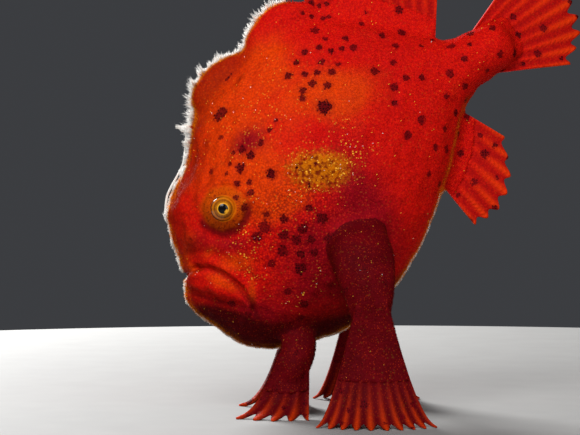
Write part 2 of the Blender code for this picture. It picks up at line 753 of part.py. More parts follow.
def build_paired_fins(body_gap, parts, cutters):
    """The arms with their pectoral fins, and the pelvic fins on their short legs."""
    floor_cut = build_floor_cut(cutters)
    for side, label in SIDES:
        across = (0, 1, LIMB_LEAN * side)
        arm = build_limb("arm_" + label, mirrored(ARM, side), ARM_HALVES, cutters, across,
                         place=floor_point, bluntness=LIMB_BLUNTNESS)
        arm_gap = grown(arm, TOUCH_GAP, "arm_gap_" + label, cutters)
        hand = hand_fin("pectoral_fin_" + label, side, HAND_KNUCKLES, HAND_KNEES, HAND_TIPS,
                        HAND_RAYS, 7, cutters, thickness=(2.4, 1.0), web=(1.6, 0.6), scallop=0.2)
        foot = hand_fin("pelvic_fin_" + label, side, FOOT_KNUCKLES, FOOT_KNEES, FOOT_TIPS,
                        FOOT_RAYS, 6, cutters, thickness=(3.6, 1.4), web=(2.6, 0.8), scallop=0.28)
        leg = build_limb("leg_" + label, mirrored(LEG, side), LEG_HALVES, cutters, across,
                         segments=12, rings=10, place=floor_point, bluntness=LIMB_BLUNTNESS)
        combined(foot, leg, "UNION")
        finish(trimmed(arm, body_gap), "skin", parts)
        finish(trimmed(hand, body_gap, arm_gap, floor_cut), "fin", parts)
        finish(trimmed(foot, body_gap, floor_cut), "fin", parts)


def set_roots(parts):
    """Puts each part's origin at its root."""
    roots = {
        "head": ORIGIN, "lower_jaw": (17, 0, -31), "trunk": FLANK_CENTRE,
        "tail_stem": (TAIL_STEM_X, 0, 3), "caudal_fin": (STANDARD_LENGTH, 0, 1.3),
        "dorsal_fin": (97, 0, 24.5), "anal_fin": (99, 0, -19.5),
        "second_dorsal_spine": SECOND_SPINE[0], "third_dorsal_spine": THIRD_SPINE[0],
        "illicium": rod_path()[0], "esca": LURE[0],
    }
    for side, label in SIDES:
        roots["eye_" + label] = (EYE_CENTRE.x, side * EYE_DEPTH, EYE_CENTRE.z)
        for name, (x, y, z) in (("arm_", ARM[0]), ("pectoral_fin_", ARM[-1]),
                                ("pelvic_fin_", LEG[0])):
            root_of(parts.objects[name + label], floor_point((x, side * y, z)))
    for name, place in roots.items():
        root_of(parts.objects[name], stance(place))
    bpy.context.view_layer.update()


def main():
    for obj in list(bpy.data.objects):
        bpy.data.objects.remove(obj, do_unlink=True)
    parts, cutters = new_collection("frogfish"), new_collection("cutters")
    body = build_body(cutters)
    body_gap = grown(body, TOUCH_GAP, "body_gap", cutters)
    dress_head(body, parts, cutters)
    part_body(body, parts, cutters)
    third_gap = build_spines(body_gap, parts, cutters)
    build_median_fins(body_gap, third_gap, parts, cutters)
    build_paired_fins(body_gap, parts, cutters)
    set_roots(parts)
    parts.objects.link(stand_on_origin(list(parts.objects), "frogfish_stand"))
    for obj in cutters.objects:
        obj.hide_render = True
        obj.display_type = "WIRE"


main()
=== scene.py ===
"""Looks of the painted frogfish: one spotted skin with its fuzz, fins, eyes and lure.

Sizes of the fish are in millimetres in its own frame, as its solids were made: x runs back from the
chin, y to the fish's right and z up its back, with the body level. Posture turns them into metres in
the world. An array holds one point a row.
"""

import logging
import math
from dataclasses import dataclass, field
from enum import Enum
from typing import Any, Callable, Sequence

import bmesh
import bpy
import numpy as np
from mathutils import Matrix, Vector
from mathutils.kdtree import KDTree


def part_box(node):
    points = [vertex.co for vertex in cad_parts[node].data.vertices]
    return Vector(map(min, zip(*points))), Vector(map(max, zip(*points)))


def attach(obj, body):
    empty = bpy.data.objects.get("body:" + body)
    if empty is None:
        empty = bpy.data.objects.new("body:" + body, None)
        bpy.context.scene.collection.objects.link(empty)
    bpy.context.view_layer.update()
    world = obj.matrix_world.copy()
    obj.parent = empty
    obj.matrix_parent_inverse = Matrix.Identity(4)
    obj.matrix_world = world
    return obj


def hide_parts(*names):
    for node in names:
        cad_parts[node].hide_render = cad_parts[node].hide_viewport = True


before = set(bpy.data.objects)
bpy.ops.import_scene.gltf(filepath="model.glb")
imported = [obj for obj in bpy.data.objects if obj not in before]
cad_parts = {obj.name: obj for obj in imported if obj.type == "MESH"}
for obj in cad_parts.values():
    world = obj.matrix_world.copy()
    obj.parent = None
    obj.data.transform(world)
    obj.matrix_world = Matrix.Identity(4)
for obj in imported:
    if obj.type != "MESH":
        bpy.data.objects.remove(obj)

MM = 0.001
SEED = 20
Pairs = Sequence[Sequence[float]]

log = logging.getLogger("frogfish")


def smooth_step(start: float, end: float, value: np.ndarray) -> np.ndarray:
    """Eases from 0 at start to 1 at end, which may be the lower of the two."""
    t = np.clip((value - start) / (end - start), 0.0, 1.0)
    return t * t * (3 - 2 * t)


def bell(distance: np.ndarray, width: float) -> np.ndarray:
    """A bell of height 1 at distance 0."""
    return np.exp(-(distance / width) ** 2)


def unit(vectors: np.ndarray) -> np.ndarray:
    """The vectors at length 1."""
    return vectors / np.maximum(np.linalg.norm(vectors, axis=-1, keepdims=True), 1e-12)


def spline(knots: np.ndarray, t: np.ndarray) -> np.ndarray:
    """Catmull-Rom points between the second and third of each four knots.

    Args:
        knots: Four knots for each point, as an array of shape (4, count, size).
        t: The share of the way from the second knot to the third.

    Returns:
        One point a row.
    """
    p0, p1, p2, p3 = knots
    u = t[:, None]
    return 0.5 * (2 * p1 + (p2 - p0) * u + (2 * p0 - 5 * p1 + 4 * p2 - p3) * u * u
                  + (3 * p1 - p0 - 3 * p2 + p3) * u ** 3)


def through(points: Pairs, t: np.ndarray) -> np.ndarray:
    """Points on a smooth open curve through the given ones.

    Args:
        points: The points that the curve passes.
        t: Places along it, from 0 to 1.

    Returns:
        One point a row.
    """
    t = np.atleast_1d(np.asarray(t, float))
    knots = np.asarray(points, float)
    ends = np.vstack([2 * knots[0] - knots[1], knots, 2 * knots[-1] - knots[-2]])
    place = np.clip(t, 0, 1) * (len(knots) - 1)
    i = np.minimum(place.astype(int), len(knots) - 2)
    return spline(np.stack([ends[i + k] for k in range(4)]), place - i)


def numbers(items: Any, name: str, width: int = 3) -> np.ndarray:
    """Reads one value of each mesh item into an array."""
    flat = np.empty(len(items) * width, np.float32)
    items.foreach_get(name, flat)
    return flat.reshape(-1, width).astype(float)


def place_points(mesh: bpy.types.Mesh, points: np.ndarray) -> None:
    """Moves the mesh's points."""
    mesh.vertices.foreach_set("co", points.astype(np.float32).ravel())
    mesh.update()


def store(mesh: bpy.types.Mesh, name: str, values: np.ndarray) -> None:
    """Keeps one number a point as a named attribute."""
    made = mesh.attributes.new(name, "FLOAT", "POINT")
    made.data.foreach_set("value", values.astype(np.float32))


def mesh_of(bm: bmesh.types.BMesh, name: str) -> bpy.types.Mesh:
    """The bmesh as a mesh with its faces turned outwards."""
    bmesh.ops.recalc_face_normals(bm, faces=bm.faces)
    mesh = bpy.data.meshes.new(name)
    bm.to_mesh(mesh)
    bm.free()
    return mesh


def piece(name: str, mesh: bpy.types.Mesh, slot: str, *nodes: str) -> bpy.types.Object:
    """An object of the fish, which rides on its one body.

    Args:
        name: The piece's name.
        mesh: Its mesh, in the world's place.
        slot: Not used.
        nodes: CAD nodes that it stands for.

    Returns:
        The object, at the origin.
    """
    mesh.shade_smooth()
    made = bpy.data.objects.new(name, mesh)
    bpy.context.scene.collection.objects.link(made)
    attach(made, "root")
    if nodes:
        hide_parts(*nodes)
    log.info("%s: %d faces", name, len(mesh.polygons))
    return made


def baked(obj: bpy.types.Object) -> bpy.types.Mesh:
    """The object's mesh with its modifiers applied."""
    graph = bpy.context.evaluated_depsgraph_get()
    graph.update()
    return bpy.data.meshes.new_from_object(obj.evaluated_get(graph))


@dataclass(frozen=True)
class Posture:
    """How the fish is bent, tipped and stood in the world."""

    pitch: float = math.radians(30.0)
    bend_start: float = 72.0
    bend_rate: float = math.radians(24.0) / 80.0
    origin_x: float = 24.4
    origin_height: float = 66.6
    eye: tuple[float, float, float] = (25.4, 20.6, -0.5)
    shift: tuple[float, float] = (0.0, 0.0)

    @classmethod
    def of_frame(cls) -> "Posture":
        """The posture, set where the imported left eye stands."""
        low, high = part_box("eye_left")
        middle = (low + high) / 2 / MM
        plain = cls().eye_place(-1) / MM
        return cls(shift=(middle.x - plain[0], middle.y - plain[1]))

    def eye_place(self, side: int) -> np.ndarray:
        """The middle of an eye in the world, in metres."""
        x, y, z = self.eye
        return self.world(np.array([[x, side * y, z]]))[0]

    def world(self, fish: np.ndarray) -> np.ndarray:
        """Points of the fish's own frame, in millimetres, as metres in the world."""
        x, y, z = (fish[:, k].astype(float) for k in range(3))
        turn = self.bend_rate * np.maximum(x - self.bend_start, 0.0)
        behind = x > self.bend_start
        bent = self.bend_start + np.sin(turn) / self.bend_rate - y * np.sin(turn)
        x = np.where(behind, bent, x) - self.origin_x
        y = np.where(behind, (1 - np.cos(turn)) / self.bend_rate + y * np.cos(turn), y)
        return MM * np.stack([
            x * math.cos(self.pitch) - z * math.sin(self.pitch) + self.shift[0],
            y + self.shift[1],
            x * math.sin(self.pitch) + z * math.cos(self.pitch) + self.origin_height], axis=1)

    def fish(self, world: np.ndarray) -> np.ndarray:
        """Points of the world, in metres, in the fish's own frame in millimetres."""
        east = world[:, 0] / MM - self.shift[0]
        y = world[:, 1] / MM - self.shift[1]
        up = world[:, 2] / MM - self.origin_height
        x = east * math.cos(self.pitch) + up * math.sin(self.pitch) + self.origin_x
        z = -east * math.sin(self.pitch) + up * math.cos(self.pitch)
        along = np.maximum(x - self.bend_start, 0.0)
        radius = 1 / self.bend_rate
        turn = np.arctan2(along, radius - y)
        behind = x > self.bend_start
        straight = self.bend_start + radius * turn
        aside = radius - np.hypot(along, radius - y)
        return np.stack([np.where(behind, straight, x), np.where(behind, aside, y), z], axis=1)

    def stood(self, points: np.ndarray) -> np.ndarray:
        """Points given as x behind the eye, y and height over the floor, as metres in the world."""
        return MM * (points + np.array([self.shift[0], self.shift[1], 0.0]))

    def backwards(self, world: np.ndarray) -> np.ndarray:
        """The direction from the snout to the tail at points of the world."""
        fish = self.fish(world)
        return unit(self.world(fish + np.array([1.0, 0.0, 0.0])) - self.world(fish))


class SideOutline:
    """The closed outline of the side view, sampled by its length, closer together on the head."""

    BACK = ((138, 8), (131, 9.6), (125, 10), (117, 10.8), (111, 13.6), (104, 20), (95, 28.5),
            (85, 35.5), (74, 40), (62, 40.6), (50, 38.2), (40, 35.2), (32.8, 31.4), (28.4, 27.4),
            (25, 22.8), (21.4, 18.2), (17.6, 15.5), (14.1, 13.4), (11, 10.9))
    FACE = ((7.6, 7.6), (6.4, 3.8), (4.9, -0.5), (4.3, -4), (3.3, -7), (3.2, -10), (4.0, -12.5),
            (1.6, -14.6), (0, -16.6), (-0.9, -20), (-0.4, -24.2), (1.3, -29), (3.6, -33))
    BELLY = ((6.8, -40.5), (11, -44.8), (16, -48), (23, -50.8), (31, -53), (41, -54.4), (52, -53),
             (64, -48.8), (77, -41), (90, -30.6), (101, -19.5), (109, -11.8), (116, -8.4),
             (125, -7.5), (131, -7), (138, -4))
    STEPS = 12
    HEAD_WEIGHT = 1.6
    HEAD_LENGTH = 30.0
    CENTRE = (56.0, -8.0)
    FLANK_RISE = 9.5
    FLANK_END = 118.0

    def __init__(self) -> None:
        """Samples the outline and measures it."""
        loop = np.array(self.BACK + self.FACE + self.BELLY, float)
        count = len(loop)
        i = np.repeat(np.arange(count), self.STEPS)
        t = np.tile(np.arange(self.STEPS) / self.STEPS, count)
        self.samples = spline(np.stack([loop[(i + k) % count] for k in (-1, 0, 1, 2)]), t)
        self.samples = np.vstack([self.samples, self.samples[:1]])
        self.back = self._sorted(self.samples[:len(self.BACK) * self.STEPS])
        self.belly = self._sorted(self.samples[-len(self.BELLY) * self.STEPS:])
        steps = np.diff(self.samples, axis=0)
        middle = (self.samples[1:, 0] + self.samples[:-1, 0]) / 2
        weight = 1 + self.HEAD_WEIGHT * bell(np.maximum(0, middle), self.HEAD_LENGTH)
        self.lengths = np.concatenate([[0], np.cumsum(np.linalg.norm(steps, axis=1) * weight)])
        self.soft_radii = self._softened_radii()

    @staticmethod
    def _sorted(points: np.ndarray) -> np.ndarray:
        """The points in order of x."""
        return points[np.argsort(points[:, 0], kind="stable")]

    def _polar(self, x: np.ndarray, z: np.ndarray) -> tuple[np.ndarray, np.ndarray]:
        """Angle and distance from the flank's centre."""
        dx, dz = x - self.CENTRE[0], z - self.CENTRE[1]
        return np.arctan2(dz, dx), np.hypot(dx, dz)

    def _softened_radii(self, directions: int = 120, spread: int = 6) -> np.ndarray:
        """Distance from the centre to the outline by direction, averaged over nearby ones."""
        angle, radius = self._polar(self.samples[:, 0], self.samples[:, 1])
        order = np.argsort(angle, kind="stable")
        wanted = math.tau * (np.arange(directions) / directions - 0.5)
        radii = np.interp(wanted, angle[order], radius[order])
        offsets = np.arange(-spread, spread + 1)
        weights = bell(offsets, spread / 1.7)
        soft = sum(np.roll(radii, -k) * w for k, w in zip(offsets, weights)) / weights.sum()
        return np.append(soft, soft[0])

    def at(self, share: np.ndarray) -> np.ndarray:
        """The outline's points at shares of its weighted length."""
        wanted = (share % 1.0) * self.lengths[-1]
        return np.stack([np.interp(wanted, self.lengths, self.samples[:, k]) for k in (0, 1)], axis=1)

    def round_share(self, x: np.ndarray, z: np.ndarray) -> np.ndarray:
        """How far a point is from the flank's centre, 0, towards the softened outline, 1."""
        angle, distance = self._polar(x, z)
        place = (angle / math.tau + 0.5) * (len(self.soft_radii) - 1)
        radius = np.interp(place, np.arange(len(self.soft_radii)), self.soft_radii)
        return np.clip(distance / radius, 0, 1)

    def height_share(self, x: np.ndarray, z: np.ndarray) -> np.ndarray:
        """How far a point of the trunk is from the flank's line, 0, towards the outline, 1."""
        flank = self.CENTRE[1] + self.FLANK_RISE * smooth_step(self.CENTRE[0], self.FLANK_END, x)
        above, below = (np.interp(x, edge[:, 0], edge[:, 1]) for edge in (self.back, self.belly))
        edge = np.where(z > flank, above, below)
        return np.clip((z - flank) / (edge - flank), 0, 1)


@dataclass(frozen=True)
class Spread:
    """A soft oval of the side view, where a tone or a swelling shows."""

    x: float
    z: float
    long: float
    short: float
    turn: float = 0.0
    weight: float = 1.0

    def at(self, x: np.ndarray, z: np.ndarray) -> np.ndarray:
        """How strongly it shows at points of the side view."""
        turn = math.radians(self.turn)
        along = (x - self.x) * math.cos(turn) + (z - self.z) * math.sin(turn)
        aside = -(x - self.x) * math.sin(turn) + (z - self.z) * math.cos(turn)
        return self.weight * np.exp(-(along / self.long) ** 2 - (aside / self.short) ** 2)


class Region(Enum):
    """A length of the fish, for its tones and its fuzz."""

    BODY = 0
    SPINE = 1
    LIMB = 2
    FIN_ROOT = 3
    MEDIAN_FIN = 4


@dataclass
class Flesh:
    """One closed shape that goes into the skin, with what the skin reads from it at each point."""

    mesh: bpy.types.Mesh
    unwrap: np.ndarray
    lie: np.ndarray
    region: Region


@dataclass
class Ground:
    """What the skin's points read from the parts under them."""

    unwrap: np.ndarray
    lie: np.ndarray
    region: np.ndarray


@dataclass
class BodyForm:
    """The form of the fish's body, the solids' own with the folds of the skin added."""

    outline: SideOutline
    segments: int = 400
    rings: int = 240
    roundness: float = 0.47
    half_widths: Pairs = ((-5, 23), (8, 24.5), (22, 25.5), (45, 26.5), (62, 25), (78, 20.5), (92, 15),
                          (104, 10.8), (114, 9), (125, 8.4), (140, 7.6))
    eye: tuple[float, float] = (25.4, -0.5)
    mound_radius: float = 7.6
    mound_height: float = 3.2
    window_radius: float = 3.5
    socket_depth: float = 4.5
    nostril: tuple[float, float] = (11.4, -3.6)
    mouth_centre: tuple[float, float] = (6.0, -31.0)
    mouth_radii: tuple[float, float] = (11.5, 18.5)
    lip_foot: Pairs = ((2.0, -18.5), (17.0, -32.8))
    maxilla: Pairs = ((21.2, -25.5), (15.6, -35.0))
    patch: Spread = Spread(57.6, -4.8, 10.6, 6.4, -30)
    knob: tuple[float, float] = (6.3, -12.2)
    coat_depth: float = 0.55
    warts: int = 260
    wrinkles: Pairs = ((9.0, 0.16), (5.0, 0.11), (2.8, 0.07))
    wrinkle_ways: int = 4

    def mouth_distance(self, x: np.ndarray, z: np.ndarray) -> np.ndarray:
        """Distance above the mouth line, in side view; negative inside the lower jaw."""
        mx, mz = self.mouth_centre
        a, b = self.mouth_radii
        dx, dz = (x - mx) / a, np.maximum(0.0, z - mz) / b
        size = np.maximum(np.hypot(dx, dz), 1e-6)
        arc = (size - 1) * np.hypot(dx * a, dz * b) / size
        return np.where(x <= mx, z - (mz + b), np.where(size < 1e-5, -a, arc))

    @staticmethod
    def line_distance(line: Pairs, x: np.ndarray, z: np.ndarray) -> np.ndarray:
        """Distance above a line of the side view, given by two points."""
        (x0, z0), (x1, z1) = line
        return ((x1 - x0) * (z - z0) - (z1 - z0) * (x - x0)) / math.hypot(x1 - x0, z1 - z0)

    def plain_relief(self, x: np.ndarray, _: np.ndarray, z: np.ndarray) -> np.ndarray:
        """How far the solids' skin stands out: eye mound, lips, snout and nostril."""
        from_eye = np.hypot(x - self.eye[0], z - self.eye[1])
        height = self.mound_height * np.maximum(0, 1 - (from_eye / self.mound_radius) ** 2) ** 1.5
        under = smooth_step(0.35, -0.35, np.sin(np.arctan2(z - self.eye[1], x - self.eye[0]) + 0.5))
        height = height - 1.1 * under * bell(from_eye - 9.0, 2.0)
        above = self.mouth_distance(x, z)
        along = smooth_step(-37, -32, z)
        height = height + along * (1.0 * bell(above - 2.4, 1.7) - 1.3 * bell(above, 1.1)
                                   - 0.5 * bell(above - 5.4, 1.2))
        foot = self.line_distance(self.lip_foot, x, z)
        lip = np.maximum(foot - above, 1e-6)
        crown = np.where(foot > 0, 0.27 * lip * np.sin(math.pi * foot / lip), 0.0)
        fold = -0.45 * bell(foot, 1.8) * smooth_step(0, -3, above)
        height = height + np.where(above < 0, crown + fold, 0.0)
        return height + 0.8 * bell(np.hypot(x - self.nostril[0], z - self.nostril[1]), 3.6)

    def fine_relief(self, x: np.ndarray, y: np.ndarray, z: np.ndarray) -> np.ndarray:
        """What the skin adds: the open slit of the mouth, lids, folds, warts and wrinkles."""
        rng = np.random.default_rng(SEED)
        from_eye = np.hypot(x - self.eye[0], z - self.eye[1])
        angle = np.arctan2(z - self.eye[1], x - self.eye[0])
        above = self.mouth_distance(x, z)
        along = smooth_step(-38, -34, z)
        aside = 0.3 + 0.7 * smooth_step(4, 10, np.abs(y))
        height = along * (0.75 * bell(above, 1.3) - 0.9 * aside * bell(above, 0.45)
                          - 0.6 * bell(above - 2.6, 1.6))
        height = height + along * (1 - aside) * (1.0 * bell(above, 1.1) - 2.2 * bell(above + 1.6, 1.4))
        foot = self.line_distance(self.lip_foot, x, z)
        lip = np.maximum(foot - above, 1e-6)
        flat = 0.16 + 0.16 * (1 - aside)
        height = height - np.where((above < 0) & (foot > 0), flat * lip * np.sin(math.pi * foot / lip), 0)
        height = height - 0.3 * bell(foot, 0.8) * smooth_step(-0.5, -3, above) * smooth_step(19, 15, x)
        height = height + 1.7 * bell(np.hypot(x - self.knob[0], z - self.knob[1]), 1.7)
        edge = self.line_distance(self.maxilla, x, z)
        (x0, z0), (x1, z1) = self.maxilla
        ends = smooth_step(z1 - 1.5, z1 + 1.5, z) * smooth_step(z0 + 1.5, z0 - 1.5, z)
        height = height + ends * (0.55 * bell(edge + 0.9, 0.8) - 0.75 * bell(edge - 0.4, 0.6))
        lid = 0.55 * bell(from_eye - self.window_radius - 0.55, 0.5)
        dashes = 0.14 * np.sin(angle * 22) * bell(from_eye - 5.6, 1.2)
        arc = -0.35 * bell(from_eye - 7.4, 0.6) + 0.3 * bell(from_eye - 8.6, 0.7)
        height = height + lid + dashes + arc
        patch = smooth_step(0.32, 0.55, self.patch.at(x, z))
        height = height + patch * (0.35 + 0.12 * np.sin(x * 3.1 + z * 1.7) * np.sin(z * 2.7 - x))
        for wave, size in self.wrinkles:
            for _ in range(self.wrinkle_ways):
                way = unit(rng.normal(size=(1, 3)))[0] * math.tau / wave
                phase = rng.uniform(0, math.tau)
                height = height + size * 0.5 * np.sin(x * way[0] + y * way[1] + z * way[2] + phase)
        for _ in range(self.warts):
            wx, wz = rng.uniform(2, 118), rng.uniform(-50, 38)
            wide = rng.uniform(0.5, 1.0)
            near = (np.abs(x - wx) < 3) & (np.abs(z - wz) < 3) & (from_eye > 8)
            distance = np.hypot(x[near] - wx, z[near] - wz)
            height[near] += wide * 0.5 * bell(distance, wide)
        recess = smooth_step(self.window_radius + 0.35, self.window_radius - 0.7, from_eye)
        return height * (1 - recess) - self.socket_depth * recess - self.coat_depth

    def half_width(self, x: np.ndarray, z: np.ndarray) -> np.ndarray:
        """Half width of the body at the flank, narrower towards the back and the throat."""
        widths = np.array(self.half_widths)
        back = 1 - 0.30 * smooth_step(0, 42, z)
        throat = 1 - 0.12 * smooth_step(-34, -56, z)
        return np.interp(x, widths[:, 0], widths[:, 1]) * back * throat

    def place(self, ball: np.ndarray) -> np.ndarray:
        """Points of a unit ball with its poles to the sides, laid on the plain body."""
        reach = np.hypot(ball[:, 0], ball[:, 2])
        edge = self.outline.at(np.arctan2(ball[:, 2], ball[:, 0]) / math.tau)
        centre = np.array(self.outline.CENTRE)
        x, z = (centre + (edge - centre) * reach[:, None]).T
        behind = smooth_step(52, 78, x) * smooth_step(136, 128, x)
        ahead = smooth_step(0.97, 0.72, reach)
        inset = reach + (self.outline.round_share(x, z) - reach) * ahead
        inset = inset + (self.outline.height_share(x, z) - inset) * behind
        width = self.half_width(x, z) * np.maximum(0.0, 1 - inset ** 2) ** self.roundness
        return np.stack([x, np.sign(np.round(ball[:, 1], 6)) * width, z], axis=1)

    def build(self, posture: Posture) -> Flesh:
        """The body's skin as a closed mesh in the world, with its own unwrap."""
        bm = bmesh.new()
        bmesh.ops.create_uvsphere(
            bm, u_segments=self.segments, v_segments=self.rings, radius=1.0,
            matrix=Matrix.Rotation(math.radians(90), 4, "X"))
        mesh = mesh_of(bm, "body")
        ball = unit(numbers(mesh.vertices, "co"))
        place_points(mesh, self.place(ball))
        for relief in (self.plain_relief, self.fine_relief):
            points = numbers(mesh.vertices, "co")
            normals = numbers(mesh.vertex_normals, "vector")
            place_points(mesh, points + normals * relief(*points.T)[:, None])
        points = posture.world(numbers(mesh.vertices, "co"))
        place_points(mesh, points)
        reach = np.hypot(ball[:, 0], ball[:, 2])
        stretch = np.arcsin(np.clip(reach, 0, 1)) / (math.pi / 2) / np.maximum(reach, 1e-6)
        side = np.where(ball[:, 1] < 0, 0.25, 0.75)
        unwrap = np.stack([side + 0.24 * ball[:, 0] * stretch, 0.25 + 0.24 * ball[:, 2] * stretch], 1)
        return Flesh(mesh, unwrap, posture.backwards(points), Region.BODY)


@dataclass
class Limb:
    """A rounded length of flesh along a path, with (along, side) half sizes from root to tip."""

    path: Pairs
    halves: Pairs
    across: tuple[float, float, float]
    place: Callable[[np.ndarray], np.ndarray]
    region: Region
    bluntness: float = 0.45
    segments: int = 72
    rings: int = 56
    depth: float = 0.4
    unwrap_at: tuple[float, float] = (0.0, 0.5)

    def build(self) -> Flesh:
        """The limb as a closed mesh in the world."""
        bm = bmesh.new()
        bmesh.ops.create_uvsphere(bm, u_segments=self.segments, v_segments=self.rings, radius=1.0)
        mesh = mesh_of(bm, "limb")
        ball = unit(numbers(mesh.vertices, "co"))
        share = np.arccos(np.clip(-ball[:, 2], -1, 1)) / math.pi
        tangent = unit(through(self.path, share + 0.02) - through(self.path, share - 0.02))
        across = unit(np.array([self.across], float))
        side = unit(across - tangent * (tangent * across).sum(1, keepdims=True))
        up = np.cross(side, tangent)
        ring = np.hypot(ball[:, 0], ball[:, 1])
        blunt = np.where(ring > 1e-6, ring ** self.bluntness, 0.0)
        angle = np.arctan2(ball[:, 1], ball[:, 0])
        knots = np.linspace(0, 1, len(self.halves))
        flat, thick = (np.interp(share, knots, [h[n] for h in self.halves]) - self.depth
                       for n in (0, 1))
        lump = 1 + 0.025 * np.sin(angle * 3 + share * 9) + 0.02 * np.sin(angle * 5 - share * 14)
        offset = (up * (flat * np.cos(angle))[:, None] + side * (thick * np.sin(angle))[:, None])
        points = self.place(through(self.path, share) + offset * (blunt * lump)[:, None])
        place_points(mesh, points)
        left, low = self.unwrap_at
        unwrap = np.stack([left + 0.005 + 0.115 * (angle / math.tau + 0.5),
                           low + 0.005 + 0.23 * share], axis=1)
        lie = unit(self.place(through(self.path, share + 0.03))
                   - self.place(through(self.path, share - 0.03)))
        return Flesh(mesh, unwrap, lie, self.region)


class FinPart(Enum):
    """Which length of a fin is built."""

    BLADE = 0
    ROOT = 1


@dataclass
class Fin:
    """A fleshy fin, its rays raised as ridges on both faces of the membrane."""

    name: str
    rays: int
    surface: Callable[[np.ndarray, np.ndarray], np.ndarray]
    thickness: tuple[float, float] = (1.5, 0.8)
    web: tuple[float, float] = (0.6, 0.6)
    scallop: float = 0.1
    rows: int = 44
    steps: int = 8
    depth: float = 0.1
    root_flesh: tuple[float, float] = (4.4, 1.5)
    root_reach: float = 0.34
    region: Region = Region.FIN_ROOT

    def _sheet(self, part: FinPart, i: np.ndarray, j: np.ndarray) -> tuple[np.ndarray, ...]:
        """The middle surface and its half thickness over a grid of columns and rows.

        Args:
            part: The blade or its thick root.
            i: Share across the fin, 0 to 1.
            j: Share out from its root, 0 to 1.

        Returns:
            Points in metres, the faces' normals, half thickness in metres and the rays' ridge.
        """
        from_ray = np.abs(i * (self.rays - 1) - np.round(i * (self.rays - 1)))
        ridge = bell(from_ray, 0.2)
        notch = 0.5 - 0.5 * np.cos(math.tau * from_ray)
        if part is FinPart.BLADE:
            out = j * (1 - self.scallop * notch)
            tip, root = (self.thickness[k] * ridge + self.web[k] * (1 - ridge) for k in (1, 0))
            thick = tip + (root - tip) * (1 - j) ** 1.6 - self.depth
            thick = thick * (1 - 0.45 * smooth_step(0.9, 1.0, j))
        else:
            out = self.root_reach * (j * 1.35 - 0.35)
            root, tip = self.root_flesh
            thick = (tip + (root - tip) * (1 - j) ** 1.3) * (0.86 + 0.14 * ridge)
        side, step = 0.004, 0.01
        across = self.surface(np.minimum(i + side, 1), out) - self.surface(np.maximum(i - side, 0), out)
        away = self.surface(i, out + step) - self.surface(i, out - step)
        return self.surface(i, out), unit(np.cross(across, away)), thick / 2 * MM, ridge

    def _shell(self, part: FinPart, columns: int, rows: int) -> tuple[bpy.types.Mesh, np.ndarray,
                                                                     np.ndarray, np.ndarray]:
        """A closed shell of two grids, bridged round their rims, and its columns and rows."""
        bm = bmesh.new()
        bmesh.ops.create_grid(bm, x_segments=columns, y_segments=rows, size=0.5)
        front = list(bm.verts)
        rim = [e for e in bm.edges if e.is_boundary]
        doubled = bmesh.ops.duplicate(bm, geom=list(bm.faces))
        bmesh.ops.reverse_faces(
            bm, faces=[g for g in doubled["geom"] if isinstance(g, bmesh.types.BMFace)])
        bmesh.ops.bridge_loops(bm, edges=rim + [doubled["edge_map"][e] for e in rim])
        bm.verts.index_update()
        grid = np.array([v.co[:2] for v in bm.verts]) + 0.5
        face = np.zeros(len(bm.verts))
        face[[v.index for v in front]] = 1.0
        face[[doubled["vert_map"][v].index for v in front]] = -1.0
        i, j = np.clip(grid.T, 0, 1)
        points, normals, half, ridge = self._sheet(part, i, j)
        mesh = bpy.data.meshes.new(self.name)
        bm.to_mesh(mesh)
        bm.free()
        points = points + normals * (face * half)[:, None]
        points[:, 2] = np.maximum(points[:, 2], 0.0)
        place_points(mesh, points)
        self._turn_out(mesh)
        return mesh, i, j, ridge

    @staticmethod
    def _turn_out(mesh: bpy.types.Mesh) -> None:
        """Turns the shell's faces outwards."""
        bm = bmesh.new()
        bm.from_mesh(mesh)
        bmesh.ops.recalc_face_normals(bm, faces=bm.faces)
        bm.to_mesh(mesh)
        bm.free()

    def root(self, unwrap_at: tuple[float, float]) -> Flesh:
        """The thick root of the fin, which the skin runs up."""
        mesh, i, j, _ = self._shell(FinPart.ROOT, self.rays * 6, 22)
        left, low = unwrap_at
        unwrap = np.stack([left + 0.005 + 0.115 * i, low + 0.005 + 0.11 * j], axis=1)
        lie = unit(self.surface(i, np.full_like(i, 0.2)) - self.surface(i, np.zeros_like(i)))
        return Flesh(mesh, unwrap, lie, self.region)

    def build(self) -> None:
        """Makes the fin's blade as a piece of its own."""
        self.mesh, i, j, ridge = self._shell(FinPart.BLADE, (self.rays - 1) * self.steps, self.rows)
        self.reads = {"ray": ridge, "out": j, "across": i * (self.rays - 1)}
        piece(self.name + "_skin", self.mesh, "fin", self.name)

    def dress(self, markings: "Markings", finish: bpy.types.Material) -> None:
        """Gives the blade its markings and finish."""
        region = np.full(len(self.mesh.vertices), self.region.value)
        markings.dress(self.mesh, region, self.reads)
        self.mesh.materials.append(finish)


